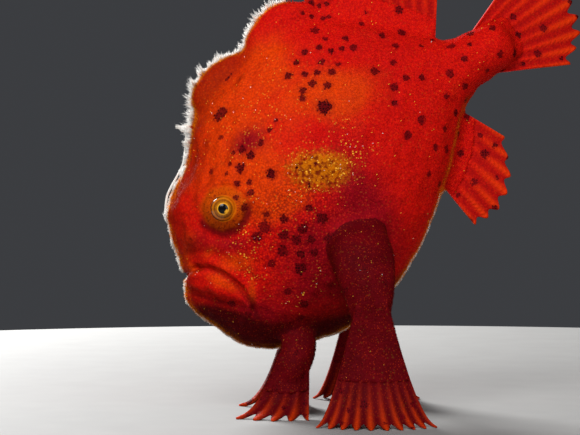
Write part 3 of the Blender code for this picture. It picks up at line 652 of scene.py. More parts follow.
class Value:
    """A number or colour inside a material, which arithmetic turns into Math nodes."""

    def __init__(self, recipe: "Recipe", socket: bpy.types.NodeSocket) -> None:
        """Wraps an output socket of the recipe's material."""
        self.recipe = recipe
        self.socket = socket

    def _math(self, operation: str, *others: Any) -> "Value":
        """The result of a Math node on this value and the others."""
        return self.recipe.math(operation, self, *others)

    def __add__(self, other: Any) -> "Value":
        """The sum."""
        return self._math("ADD", other)

    __radd__ = __add__

    def __sub__(self, other: Any) -> "Value":
        """The difference."""
        return self._math("SUBTRACT", other)

    def __rsub__(self, other: Any) -> "Value":
        """The difference, from a plain number."""
        return self.recipe.math("SUBTRACT", other, self)

    def __mul__(self, other: Any) -> "Value":
        """The product."""
        return self._math("MULTIPLY", other)

    __rmul__ = __mul__

    def __truediv__(self, other: Any) -> "Value":
        """The quotient."""
        return self._math("DIVIDE", other)

    def __pow__(self, other: Any) -> "Value":
        """The power."""
        return self._math("POWER", other)

    def eased(self, start: float, end: float) -> "Value":
        """Eases from 0 where the value is start to 1 where it is end."""
        made = self.recipe.node(
            "ShaderNodeMapRange", {"interpolation_type": "SMOOTHSTEP"},
            {"Value": self, "From Min": start, "From Max": end})
        return Value(self.recipe, made.outputs["Result"])


class Recipe:
    """A material and the nodes that make it."""

    def __init__(self, name: str) -> None:
        """Starts a material that has a Principled shader."""
        self.material = bpy.data.materials.new(name)
        self.material.use_nodes = True
        self.tree = self.material.node_tree
        self.shader = self.tree.nodes["Principled BSDF"]

    def node(self, kind: str, settings: dict[str, Any] | None = None,
             inputs: dict[Any, Any] | None = None) -> bpy.types.Node:
        """Adds a node.

        Args:
            kind: The node's type.
            settings: Properties to set on it.
            inputs: Values, colours or numbers by the name or index of their socket.

        Returns:
            The node.
        """
        made = self.tree.nodes.new(kind)
        for name, value in (settings or {}).items():
            setattr(made, name, value)
        for name, value in (inputs or {}).items():
            self.feed(made.inputs[name], value)
        return made

    def feed(self, socket: bpy.types.NodeSocket, value: Any) -> None:
        """Links a Value to a socket, or sets a plain number or colour on it."""
        if isinstance(value, Value):
            self.tree.links.new(value.socket, socket)
        elif isinstance(value, tuple) and socket.type == "RGBA":
            socket.default_value = (*value, 1.0)
        else:
            socket.default_value = value

    def math(self, operation: str, *values: Any) -> Value:
        """The result of a Math node."""
        made = self.node("ShaderNodeMath", {"operation": operation}, dict(enumerate(values)))
        return Value(self, made.outputs[0])

    def place(self) -> Value:
        """The point's place in the world, in metres."""
        return Value(self, self.node("ShaderNodeTexCoord").outputs["Object"])

    def root(self) -> Value:
        """The place on the skin where a hair of the coat roots, in metres."""
        made = self.node("ShaderNodeAttribute", {"attribute_name": "root"})
        return Value(self, made.outputs["Vector"])

    def attribute(self, name: str) -> Value:
        """A number kept at the piece's points."""
        made = self.node("ShaderNodeAttribute", {"attribute_name": name})
        return Value(self, made.outputs["Fac"])

    def noise(self, at: Value, scale: float, detail: float = 2.0) -> Value:
        """Soft noise about 0.5, with a scale in patches a metre."""
        made = self.node("ShaderNodeTexNoise", None, {"Vector": at, "Scale": scale, "Detail": detail})
        return Value(self, made.outputs["Fac"])

    def cells(self, at: Value, scale: float, feature: str = "F1") -> Value:
        """Distance inside cells, with a scale in cells a metre."""
        made = self.node("ShaderNodeTexVoronoi", {"feature": feature}, {"Vector": at, "Scale": scale})
        return Value(self, made.outputs["Distance"])

    def mix(self, share: Any, first: Any, second: Any) -> Value:
        """A colour between two, at a share of the way."""
        made = self.node("ShaderNodeMix", {"data_type": "RGBA", "clamp_factor": True},
                         {0: share, 6: first, 7: second})
        return Value(self, made.outputs[2])

    def split(self, vector: Value) -> tuple[Value, Value, Value]:
        """The three parts of a vector."""
        made = self.node("ShaderNodeSeparateXYZ", None, {0: vector})
        return tuple(Value(self, made.outputs[k]) for k in range(3))

    def join(self, x: Any, y: Any, z: Any) -> Value:
        """A vector from three parts."""
        made = self.node("ShaderNodeCombineXYZ", None, {0: x, 1: y, 2: z})
        return Value(self, made.outputs[0])

    def bumped(self, height: Value, depth: float, strength: float = 1.0) -> None:
        """Gives the shader a relief of that depth in metres."""
        made = self.node("ShaderNodeBump", None,
                         {"Height": height, "Distance": depth, "Strength": strength})
        self.tree.links.new(made.outputs[0], self.shader.inputs["Normal"])

    def shade(self, **sockets: Any) -> bpy.types.Material:
        """Feeds the shader's sockets, named with _ for a space, and returns the material."""
        for name, value in sockets.items():
            self.feed(self.shader.inputs[name.replace("_", " ")], value)
        return self.material


class Layer(Enum):
    """What a skin finish is laid on."""

    SKIN = "frogfish_skin"
    FUZZ = "frogfish_fuzz"
    FIN = "frogfish_fin"


@dataclass(frozen=True)
class SkinFinish:
    """The painted skin: red and orange with dark spots, an ochre patch and a ringed eye mound, with painted
    shade, painted highlights and a painted backlit edge.
    """

    eye: tuple[float, float]
    red: tuple[float, float, float] = (0.66, 0.006, 0.003)
    orange: tuple[float, float, float] = (0.76, 0.050, 0.001)
    crimson: tuple[float, float, float] = (0.30, 0.002, 0.008)
    maroon: tuple[float, float, float] = (0.045, 0.0004, 0.002)
    umber: tuple[float, float, float] = (0.26, 0.010, 0.001)
    ochre: tuple[float, float, float] = (0.58, 0.150, 0.001)
    bark: tuple[float, float, float] = (0.20, 0.018, 0.002)
    olive: tuple[float, float, float] = (0.58, 0.078, 0.001)
    gold: tuple[float, float, float] = (1.0, 0.50, 0.04)
    backlight_amber: tuple[float, float, float] = (0.98, 0.26, 0.004)
    pale: tuple[float, float, float] = (0.93, 0.90, 0.86)
    ink: tuple[float, float, float] = (0.010, 0.0006, 0.0015)
    wine: tuple[float, float, float] = (0.13, 0.001, 0.004)

    def _ground(self, recipe: Recipe, place: Value) -> Value:
        """The skin's ground colour before its spots, painted highlights and painted shade among its tones.
        """
        lumps = recipe.noise(place, 130, 3)
        grain = recipe.noise(place, 1100, 2)
        # orange tone, partly painted highlights on the lips, the knob and the upper jaw
        colour = recipe.mix((recipe.attribute("orange_and_highlight") + (lumps - 0.5) * 0.8).eased(0.05, 0.95),
                            self.red, self.orange)
        # crimson tone, partly painted shade: darker by the arm, towards the flank's rear and on the limbs
        # and paired fins
        colour = recipe.mix((recipe.attribute("crimson_and_shade") + (lumps - 0.5) * 0.5).eased(0.1, 1.0),
                            colour, self.crimson)
        # painted shade: maroon on the chin, throat, belly, mouth gap, lip fold, nostril pit, limbs and
        # paired fins
        colour = recipe.mix((recipe.attribute("painted_shade") + (lumps - 0.5) * 0.4).eased(0.1, 1.0),
                            colour, self.maroon)
        # painted shade: umber where the head's skin turns edge-on and on the snout's front
        colour = recipe.mix(recipe.attribute("edge_shade") * 0.75, colour, self.umber)
        granules = recipe.cells(place, 1400)
        dotted = recipe.attribute("dotted")
        shade = granules.eased(0.30, 0.70) * (dotted * 0.25 + 0.25) + grain.eased(0.45, 0.75) * 0.2
        colour = recipe.mix(shade, colour, self.wine)
        colour = recipe.mix(granules.eased(0.32, 0.12) * (dotted * 0.2 + 0.3), colour, self.orange)
        patch = (recipe.attribute("patch") + (grain - 0.5) * 0.7).eased(0.2, 0.75)
        worn = recipe.mix((recipe.noise(place, 900, 3) * 0.7 + lumps * 0.3).eased(0.42, 0.62),
                          self.ochre, self.bark)
        colour = recipe.mix(patch, colour, worn)
        flecks = recipe.cells(place, 900).eased(0.30, 0.18) * recipe.noise(place, 300, 2).eased(0.48, 0.58)
        return recipe.mix(flecks * (recipe.attribute("gilt") + 0.04), colour, self.gold)

    def _eye_rings(self, recipe: Recipe, place: Value, colour: Value) -> Value:
        """The rings and dashes round the eye, and a painted shadow under its mound."""
        x, _, z = recipe.split(place)
        dx, dz = x - self.eye[0], z - self.eye[1]
        radius = recipe.math("SQRT", dx * dx + dz * dz) * (1 / MM)
        angle = recipe.math("ARCTAN2", dz, dx)
        wander = radius + (recipe.noise(place, 300, 2) - 0.5) * 1.8
        colour = recipe.mix(wander.eased(8.6, 5.8) * 0.85, colour, self.olive)
        turned = recipe.join(recipe.math("COSINE", angle) * 7, recipe.math("SINE", angle) * 7,
                             radius * 0.75)
        streaks = recipe.noise(turned, 1.6, 2)
        dashes = streaks.eased(0.52, 0.62) * radius.eased(3.8, 4.6) * radius.eased(7.4, 6.2)
        colour = recipe.mix(dashes * 0.6, colour, self.wine)
        lid = radius.eased(4.4, 4.0)
        colour = recipe.mix(lid * 0.6, colour, self.ochre)
        # painted shadow: wine in the groove on the lower side of the eye mound
        below = (dz * -900 + dx * 250).eased(-1.5, 3.5)
        shade = wander.eased(6.0, 7.4) * wander.eased(9.6, 8.2) * below
        return recipe.mix(shade * 0.85, colour, self.wine)

    def _spots(self, recipe: Recipe, place: Value, colour: Value) -> Value:
        """The dark spots, netted inside, laid over a colour."""
        grains = recipe.cells(place, 1200)
        ragged = recipe.attribute("spot") + (recipe.noise(place, 900, 2) - 0.5) * 1.3 + grains * 0.55
        inside = ragged.eased(1.42, 1.12)
        ink = recipe.attribute("ink")
        net = recipe.cells(place, 1200, "DISTANCE_TO_EDGE").eased(0.02, 0.22)
        colour = recipe.mix(recipe.attribute("spot").eased(1.9, 1.0) * ink * 0.25, colour, self.wine)
        colour = recipe.mix(inside * (ink * 0.35 + 0.6), colour, self.wine)
        return recipe.mix(inside * net * (ink * 0.75 + 0.15), colour, self.ink)

    def material(self, layer: Layer) -> bpy.types.Material:
        """The finish for one layer of the fish."""
        recipe = Recipe(layer.value)
        place = recipe.root() if layer is Layer.FUZZ else recipe.place()
        colour = self._ground(recipe, place)
        if layer is Layer.FIN:
            ray = recipe.attribute("ray")
            colour = recipe.mix((1 - ray) * 0.35, colour, self.maroon)
            colour = recipe.mix(ray * recipe.attribute("out").eased(0.2, 1.0) * 0.6, colour, self.orange)
        colour = self._eye_rings(recipe, place, colour)
        colour = self._spots(recipe, place, colour)
        # painted backlight: gold along the fish's edge
        rim = recipe.attribute("rim")
        colour = recipe.mix(rim.eased(0.3, 1.0) * 0.6, colour, self.gold)
        if layer is Layer.FUZZ:
            tip = recipe.attribute("tip")
            colour = recipe.mix(tip * recipe.attribute("tint") * 0.2, colour, self.orange)
            # painted backlight: the fringe's tips gold, then white, near the edge
            white = recipe.attribute("fringe") * rim.eased(0.2, 0.8)
            colour = recipe.mix(white * tip.eased(0.0, 0.22) * 0.7, colour, self.gold)
            colour = recipe.mix(white * tip.eased(0.16, 0.42), colour, self.pale)
            bright = recipe.mix(recipe.attribute("tint").eased(0.8, 0.9), self.gold, self.pale)
            colour = recipe.mix(recipe.attribute("speck"), colour, bright)
            # painted backlight: amber on the velvet in the band by the edge
            backlit_band = recipe.attribute("backlit_band") * (tip * 0.5 + 0.4) * (1 - recipe.attribute("fringe"))
            colour = recipe.mix(backlit_band, colour, self.backlight_amber)
            return recipe.shade(Base_Color=colour, Roughness=0.7, Specular_IOR_Level=0.0)
        relief = recipe.cells(place, 1500, "SMOOTH_F1") * -0.6 + recipe.noise(place, 700, 3) * 0.8
        if layer is Layer.FIN:
            bands = recipe.math("SINE", recipe.attribute("out") * 90 + recipe.noise(place, 200) * 4)
            relief = relief + bands * recipe.attribute("ray") * 0.3
        recipe.bumped(relief, 0.00035, 0.7)
        wet = recipe.noise(place, 300, 2) * 0.3 + 0.50
        return recipe.shade(Base_Color=colour, Roughness=wet, Specular_IOR_Level=0.03)


@dataclass(frozen=True)
class SpotPattern:
    """The dark spots of the left side, as (x, z, radius, depth), and how the rest are scattered."""

    seen: Pairs = (
        (69.3, 11.4, 2.35, 1.0), (38.1, 26.4, 1.8, 0.7), (39.9, 26.8, 1.8, 0.7), (46.3, 35.4, 0.5, 0.5),
        (47.4, 35.9, 0.45, 0.6), (48.6, 36.3, 0.4, 0.5), (43.3, 1.5, 1.57, 1.0),
        (36.7, -29.3, 1.88, 0.95), (33.3, -11.8, 1.88, 0.4), (37.3, -17.4, 1.57, 0.7),
        (29.5, -13.3, 1.51, 0.6), (39.9, -13.0, 1.38, 0.7), (39.8, -20.6, 1.57, 0.7),
        (34.2, -21.3, 1.69, 0.6), (44.2, -18.1, 1.57, 0.7), (49.1, -14.0, 1.25, 0.7),
        (44.3, -22.9, 1.38, 0.75), (50.8, -19.0, 1.72, 0.75), (48.8, -24.6, 1.41, 0.75),
        (38.8, -25.3, 1.44, 0.7), (42.5, -26.9, 1.44, 0.7), (29.6, -23.6, 1.35, 0.45),
        (35.7, -8.9, 1.1, 0.5), (40.8, 10.0, 1.44, 0.75), (39.4, 13.3, 1.29, 0.65),
        (36.1, 8.3, 1.63, 0.8), (45.7, 11.7, 1.16, 0.6), (50.0, 14.1, 0.91, 0.6),
        (53.4, 16.0, 0.78, 0.55), (33.7, 11.1, 0.78, 0.5), (31.7, 9.0, 0.72, 0.45),
        (36.7, 13.8, 0.78, 0.45), (33.0, 4.7, 1.16, 0.75), (36.3, 3.1, 0.91, 0.6),
        (35.0, -0.1, 1.29, 0.6), (30.8, 1.2, 1.0, 0.55), (31.4, -4.2, 1.25, 0.6),
        (27.6, 12.2, 0.9, 0.3), (35.2, 20.0, 0.9, 0.3), (63.9, 26.4, 1.32, 0.75),
        (68.4, 28.8, 1.0, 0.8), (68.6, 24.1, 1.1, 0.8), (72.4, 30.1, 1.19, 0.6),
        (77.1, 29.5, 1.07, 0.75), (72.7, 22.5, 1.13, 0.8), (76.4, 20.3, 1.25, 0.7),
        (75.6, 25.1, 1.07, 0.7), (79.3, 21.7, 1.0, 0.5), (80.3, 25.9, 1.1, 0.75),
        (83.4, 25.3, 1.0, 0.6), (86.3, 27.1, 1.1, 0.65), (80.7, 30.8, 0.88, 0.6),
        (79.1, 34.8, 1.41, 0.45), (69.6, 20.1, 1.41, 0.65), (73.7, 16.9, 1.41, 0.65),
        (65.3, 19.6, 1.25, 0.65), (64.3, 17.9, 1.25, 0.65), (80.9, 39.4, 0.85, 0.6),
        (83.2, 37.5, 0.9, 0.6), (85.6, 36.7, 0.8, 0.5), (84.4, 41.5, 0.8, 0.6), (87.3, 40.8, 0.9, 0.6),
        (78.9, 42.1, 0.85, 0.45), (11.9, -28.5, 1.32, 0.6), (15.2, -34.1, 1.13, 0.5),
        (11.3, -33.6, 1.1, 0.4), (31.7, -39.8, 1.57, 0.6), (29.0, -43.6, 1.25, 0.5),
        (29.6, -33.6, 1.25, 0.4), (52.4, -1.0, 0.5, 0.9), (57.6, -2.2, 0.5, 0.9),
        (52.9, -7.2, 0.45, 0.8), (51.6, -8.2, 0.45, 0.8))
    first_hidden: float = 86.0
    rear_count: int = 70
    limb_count: int = 34
    fin_share: float = 5.0

    def placed(self, posture: Posture, points: np.ndarray, region: np.ndarray,
               fins: Sequence[np.ndarray]) -> np.ndarray:
        """All the spots, on the skin and the fins.

        Args:
            posture: Turns the spots' places into the world.
            points: The skin's points, in metres.
            region: The region of each.
            fins: The points of each fin.

        Returns:
            Rows of x, y, z, radius, in metres, and depth.
        """
        rng = np.random.default_rng(SEED + 3)
        fish = posture.fish(points)
        rows = []
        for x, z, radius, depth in self.seen:
            rows.append([*self._on_side(fish, points, -1, x, z), radius * MM, depth])
            x, z = x + rng.normal(0, 1.6), z + rng.normal(0, 1.6)
            size = radius * rng.uniform(0.8, 1.2)
            if math.hypot(x - posture.eye[0], z - posture.eye[2]) > 5 + size:
                rows.append([*self._on_side(fish, points, 1, x, z), size * MM, depth])
        rear = np.flatnonzero((fish[:, 0] > self.first_hidden) & (region == Region.BODY.value))
        limbs = np.flatnonzero((region == Region.LIMB.value) & (points[:, 2] > 18 * MM))
        for places, count in ((points[rear], self.rear_count), (points[limbs], self.limb_count),
                              *((fin, int(len(fin) ** 0.5 / self.fin_share)) for fin in fins)):
            for place in self._scattered(rng, places, count):
                rows.append([*place, rng.uniform(0.7, 1.5) * MM, rng.uniform(0.4, 0.85)])
        return np.array(rows)

    @staticmethod
    def _on_side(fish: np.ndarray, points: np.ndarray, side: int, x: float, z: float) -> np.ndarray:
        """The outermost point of one flank at a place of the side view."""
        gap = np.hypot(fish[:, 0] - x, fish[:, 2] - z)
        near = np.flatnonzero(gap < max(0.7, gap.min() + 0.1))
        return points[near[np.argmax(fish[near, 1] * side)]]

    @staticmethod
    def _scattered(rng: np.random.Generator, places: np.ndarray, count: int) -> list[np.ndarray]:
        """Places drawn apart from each other: each is the furthest of a few tries."""
        chosen = [places[rng.integers(len(places))]]
        while len(chosen) < count:
            tries = places[rng.integers(len(places), size=7)]
            gaps = np.linalg.norm(tries[:, None] - np.array(chosen)[None], axis=2).min(axis=1)
            chosen.append(tries[np.argmax(gaps)])
        return chosen


@dataclass
class Markings:
    """Where the skin's tones and spots are, read at any point of the fish."""

    posture: Posture
    form: BodyForm
    spots: np.ndarray = field(default_factory=lambda: np.zeros((0, 5)))

    TONES = {
        # orange tone of the brow and snout, partly painted highlights: the lower lip's top, the knob, the
        # upper jaw's lobe and the maxilla's edge
        "orange_and_highlight": (Spread(40, 31, 15, 14, 0, 0.9), Spread(34, 9, 16, 12, 0, 0.85),
                 Spread(38, -3, 13, 8, 0, 0.75), Spread(64, 19, 14, 9, 0, 0.55),
                 Spread(72, 12.5, 7, 7, 0, 0.6), Spread(62, 34, 10, 8, 0, 0.75),
                 Spread(79, 11, 9, 8, 0, 0.7), Spread(20.5, -17.5, 6.5, 3.2, -30, 0.9),
                 Spread(13.1, -20.6, 6.5, 2.0, -54, 0.8), Spread(19.6, -28.6, 5.0, 1.0, 60, 1.1),
                 Spread(14.4, -10.0, 3.0, 1.7, 20, 0.6), Spread(6.3, -12.2, 1.9, 1.9, 0, 1.1),
                 Spread(6.6, -8.0, 3.6, 1.5, 70, 0.8), Spread(44, -9, 8, 4.5, 0, 0.9),
                 Spread(11.4, -3.6, 3.2, 3.2, 0, 0.5)),
        # crimson tone of the cheek, partly painted shade: darker crimson by the arm and towards the flank's
        # rear
        "crimson_and_shade": (Spread(44, -36, 20, 13, 0, 1.0), Spread(65, -20, 9, 19, 0, 0.9),
                  Spread(42.5, 14, 7.5, 4.5, 0, 0.9), Spread(16, -36, 12.5, 6.3, -40, 0.9),
                  Spread(13.8, -5.3, 4.4, 4.4, 0, 0.6), Spread(22, -11.5, 7, 3.4, -25, 0.75),
                  Spread(88, 14, 26, 26, 0, 0.3), Spread(45, -20, 12, 9, 0, 0.5)),
        # painted shade: maroon under the chin and throat, along the belly and in the nostril's pit
        "painted_shade": (Spread(5.5, -30.5, 11, 5.5, -58, 1.2), Spread(10, -38, 9, 5, -50, 1.1),
                 Spread(18, -45, 18, 7, -20, 1.0), Spread(50, -54, 30, 9, 0, 1.0),
                 Spread(11.2, -3.8, 0.9, 0.9, 0, 0.7)),
        "gilt": (Spread(25.8, -11.6, 4.6, 3.2, 0, 1.0), Spread(23.3, -19.6, 5.6, 6.3, 0, 0.9),
                 Spread(57.6, -4.8, 10, 6.5, -30, 1.0), Spread(68, -3.5, 7, 7, 0, 0.9),
                 Spread(47.8, -10, 9.4, 5, 0, 0.6), Spread(33.5, -2.0, 3.0, 2.4, 0, 0.9),
                 Spread(50, 19, 16, 10, 0, 0.3), Spread(27.2, -35.8, 2.6, 0.8, -55, 1.5),
                 Spread(32.5, -37.1, 4.5, 0.9, 10, 1.5), Spread(38.5, -35.7, 2.6, 0.9, 15, 1.5),
                 Spread(41.7, -33.0, 2.8, 0.8, 60, 1.3)),
        "dotted": (Spread(38, -18, 17, 13, 0, 1.1), Spread(47, -10, 12, 9, 0, 0.8)),
        # painted shade on the snout's front; read adds more where the head's skin turns edge-on
        "edge_shade": (Spread(8, 2, 5, 12, 0, 0.8), Spread(9, -7, 5, 4, 0, 0.4)),
    }

    def read(self, world: np.ndarray, normals: np.ndarray, region: np.ndarray) -> dict[str, np.ndarray]:
        """The tones at points of the fish, painted shade, painted highlights and painted backlight among
        them.

        Args:
            world: Points in metres.
            normals: The skin's normals there.
            region: The value of the region there.

        Returns:
            One array for each tone, by its name.
        """
        fish = self.posture.fish(world)
        x, y, z = fish.T
        flank = np.isin(region, (Region.BODY.value, Region.SPINE.value))
        tones = {name: np.clip(sum(spread.at(x, z) for spread in spreads), 0, 1.2) * flank
                 for name, spreads in self.TONES.items()}
        above = self.form.mouth_distance(x, z)
        foot = self.form.line_distance(self.form.lip_foot, x, z)
        lips = smooth_step(-38, -34, z) * flank
        knob = bell(np.hypot(x - self.form.knob[0], z - self.form.knob[1]), 2.2)
        # painted shade: maroon in the mouth's gap and in the fold under the lower lip
        gap = lips * smooth_step(1.2, 0.4, np.abs(above + 0.1)) * (1 - knob)
        fold = lips * bell(foot, 0.8) * smooth_step(-0.5, -3, above) * smooth_step(19, 15, x)
        # painted shade: the limbs and paired fins darkened to crimson and maroon
        limb = np.isin(region, (Region.LIMB.value, Region.FIN_ROOT.value))
        tones["painted_shade"] = np.clip(tones["painted_shade"] + 0.45 * gap + 0.35 * fold + 0.75 * limb, 0, 1.2)
        tones["crimson_and_shade"] = np.clip(tones["crimson_and_shade"] + 0.95 * limb, 0, 1.2)
        tones["patch"] = self.form.patch.at(x, z) * flank
        tones["spot"], tones["ink"] = self._spot_share(world)
        # painted shade: umber where the front of the head turns edge-on
        edge = np.maximum(smooth_step(0.86, 0.40, np.abs(normals[:, 1])),
                          0.9 * smooth_step(0.88, 0.98, self.form.outline.round_share(x, z)))
        edge = edge * smooth_step(64, 50, x) * smooth_step(-30, -10, z)
        tones["edge_shade"] = np.clip(np.maximum(tones["edge_shade"], edge), 0, 1) * flank
        # painted backlight: bands along the fish's edge, gold on the skin and amber and white on the fuzz
        tones["backlit_band"] = self._rim(fish, normals, 0.62, 0.30) * flank
        tones["rim"] = self._rim(fish, normals, 0.34, 0.10) * flank
        tones["bare"] = self._bare(fish) * flank
        return tones

    def _bare(self, fish: np.ndarray) -> np.ndarray:
        """How short and sparse the fuzz is: 1 on the eye's window and in the mouth."""
        x, _, z = fish.T
        from_eye = np.hypot(x - self.form.eye[0], z - self.form.eye[1])
        mouth = bell(self.form.mouth_distance(x, z), 1.3) * smooth_step(-38, -34, z)
        return np.maximum(mouth, smooth_step(5.0, 4.2, from_eye))

    def _rim(self, fish: np.ndarray, normals: np.ndarray, start: float, end: float) -> np.ndarray:
        """How near the skin is to the fish's edge, eased as it turns from one slant to another; it marks
        where painted backlight goes.
        """
        x, y, z = fish.T
        under_fin = smooth_step(73, 78, x) * smooth_step(0, 20, z)
        return (smooth_step(start, end, np.abs(normals[:, 1])) * smooth_step(8, 3, np.abs(y))
                * smooth_step(116, 96, x) * (1 - under_fin) * (1 - self._bare(fish)))

    def fringe_length(self, fish: np.ndarray) -> np.ndarray:
        """The fringe's length in millimetres at points of the fish's edge."""
        x, _, z = fish.T
        brow = smooth_step(12, 27, z)
        low = smooth_step(-14, -26, z)
        waves = 1 + 0.28 * np.sin(x * 0.8 + z * 1.1) + 0.16 * np.sin(x * 2.1 - z * 1.3)
        length = 1.1 + 2.1 * brow * (1 - 0.4 * bell(x - 52, 9)) - 0.4 * low
        return length * waves * (1 - 0.45 * smooth_step(76, 90, x))

    def _spot_share(self, world: np.ndarray) -> tuple[np.ndarray, np.ndarray]:
        """Distance to the nearest spot's middle, in its own radii, up to 3, and that spot's depth."""
        share, ink = np.full(len(world), 3.0), np.zeros(len(world))
        for x, y, z, radius, depth in self.spots:
            near = np.flatnonzero(np.abs(world[:, 0] - x) < 3 * radius)
            reach = np.linalg.norm(world[near] - (x, y, z), axis=1) / radius
            closer = reach < share[near]
            share[near[closer]], ink[near[closer]] = reach[closer], depth
        return share, ink

    def dress(self, mesh: bpy.types.Mesh, region: np.ndarray, more: dict[str, np.ndarray] | None = None
              ) -> None:
        """Keeps the tones at the mesh's points, and any more that are given."""
        tones = self.read(numbers(mesh.vertices, "co"), numbers(mesh.vertex_normals, "vector"), region)
        for name, values in {**tones, **(more or {})}.items():
            store(mesh, name, values)


@dataclass
class Skin:
    """The one skin over the body, spines, limbs and fin roots, joined with no seam."""

    voxel: float = 0.66
    smoothing: int = 1
    join_width: float = 3.2
    join_steps: int = 70
    nodes: tuple[str, ...] = ("head", "lower_jaw", "trunk", "tail_stem", "second_dorsal_spine",
                              "third_dorsal_spine", "arm_left", "arm_right")

    def build(self, parts: Sequence[Flesh]) -> tuple[bpy.types.Object, Ground]:
        """Joins the parts into the skin.

        Args:
            parts: The closed shapes that the skin covers, the body first.

        Returns:
            The skin, and what each of its points reads from the part under it.
        """
        bm = bmesh.new()
        for part in parts:
            bm.from_mesh(part.mesh)
        joined = bpy.data.meshes.new("joined")
        bm.to_mesh(joined)
        bm.free()
        holder = bpy.data.objects.new("joined", joined)
        bpy.context.scene.collection.objects.link(holder)
        remesh = holder.modifiers.new("one_skin", "REMESH")
        remesh.mode = "VOXEL"
        remesh.voxel_size = self.voxel * MM
        remesh.use_smooth_shade = True
        soften = holder.modifiers.new("soften", "SMOOTH")
        soften.factor = 0.5
        soften.iterations = self.smoothing
        mesh = baked(holder)
        bpy.data.objects.remove(holder)
        self._blend_joins(mesh, parts)
        skin = piece("skin", mesh, "skin", *self.nodes)
        return skin, self._ground(parts, mesh)

    @staticmethod
    def _tree(points: np.ndarray) -> KDTree:
        """A search tree over the points."""
        tree = KDTree(len(points))
        for index, point in enumerate(points):
            tree.insert(point, index)
        tree.balance()
        return tree

    def _blend_joins(self, mesh: bpy.types.Mesh, parts: Sequence[Flesh]) -> None:
        """Rounds the crease where each part grows out of the body."""
        points = numbers(mesh.vertices, "co")
        body = self._tree(numbers(parts[0].mesh.vertices, "co"))
        grown = [part for part in parts[1:] if part.region is not Region.BODY]
        others = self._tree(np.vstack([numbers(part.mesh.vertices, "co") for part in grown]))
        gap = np.array([[tree.find(point)[2] for tree in (body, others)] for point in points]) / MM
        weight = smooth_step(self.join_width, 0.5, gap.max(axis=1))[:, None]
        edges = numbers(mesh.edges, "vertices", 2).astype(int)
        count = np.bincount(edges.ravel(), minlength=len(points))[:, None]
        for step in range(self.join_steps):
            total = np.stack([np.bincount(edges[:, 0], points[edges[:, 1], k], len(points))
                              + np.bincount(edges[:, 1], points[edges[:, 0], k], len(points))
                              for k in range(3)], axis=1)
            points = points + 0.7 * weight * (total / count - points)
            if step % 10 == 9:
                spread = (np.bincount(edges[:, 0], weight[edges[:, 1], 0], len(points))
                          + np.bincount(edges[:, 1], weight[edges[:, 0], 0], len(points)))
                weight = np.maximum(weight, 0.9 * spread[:, None] / count)
        place_points(mesh, points)

    def _ground(self, parts: Sequence[Flesh], mesh: bpy.types.Mesh) -> Ground:
        """The unwrap, the lie and the region at each point, from the nearest point of a part."""
        tree = self._tree(np.vstack([numbers(part.mesh.vertices, "co") for part in parts]))
        nearest = [tree.find(point)[1] for point in numbers(mesh.vertices, "co")]
        region = np.concatenate([np.full(len(part.lie), part.region.value) for part in parts])
        return Ground(np.vstack([part.unwrap for part in parts])[nearest],
                      np.vstack([part.lie for part in parts])[nearest], region[nearest])


@dataclass
class Roots:
    """Where hairs of the coat root, and all that the skin tells them there."""

    point: np.ndarray
    normal: np.ndarray
    lie: np.ndarray
    unwrap: np.ndarray
    tones: dict[str, np.ndarray]

    def picked(self, chosen: np.ndarray) -> "Roots":
        """Some of the roots."""
        return Roots(self.point[chosen], self.normal[chosen], self.lie[chosen], self.unwrap[chosen],
                     {name: values[chosen] for name, values in self.tones.items()})


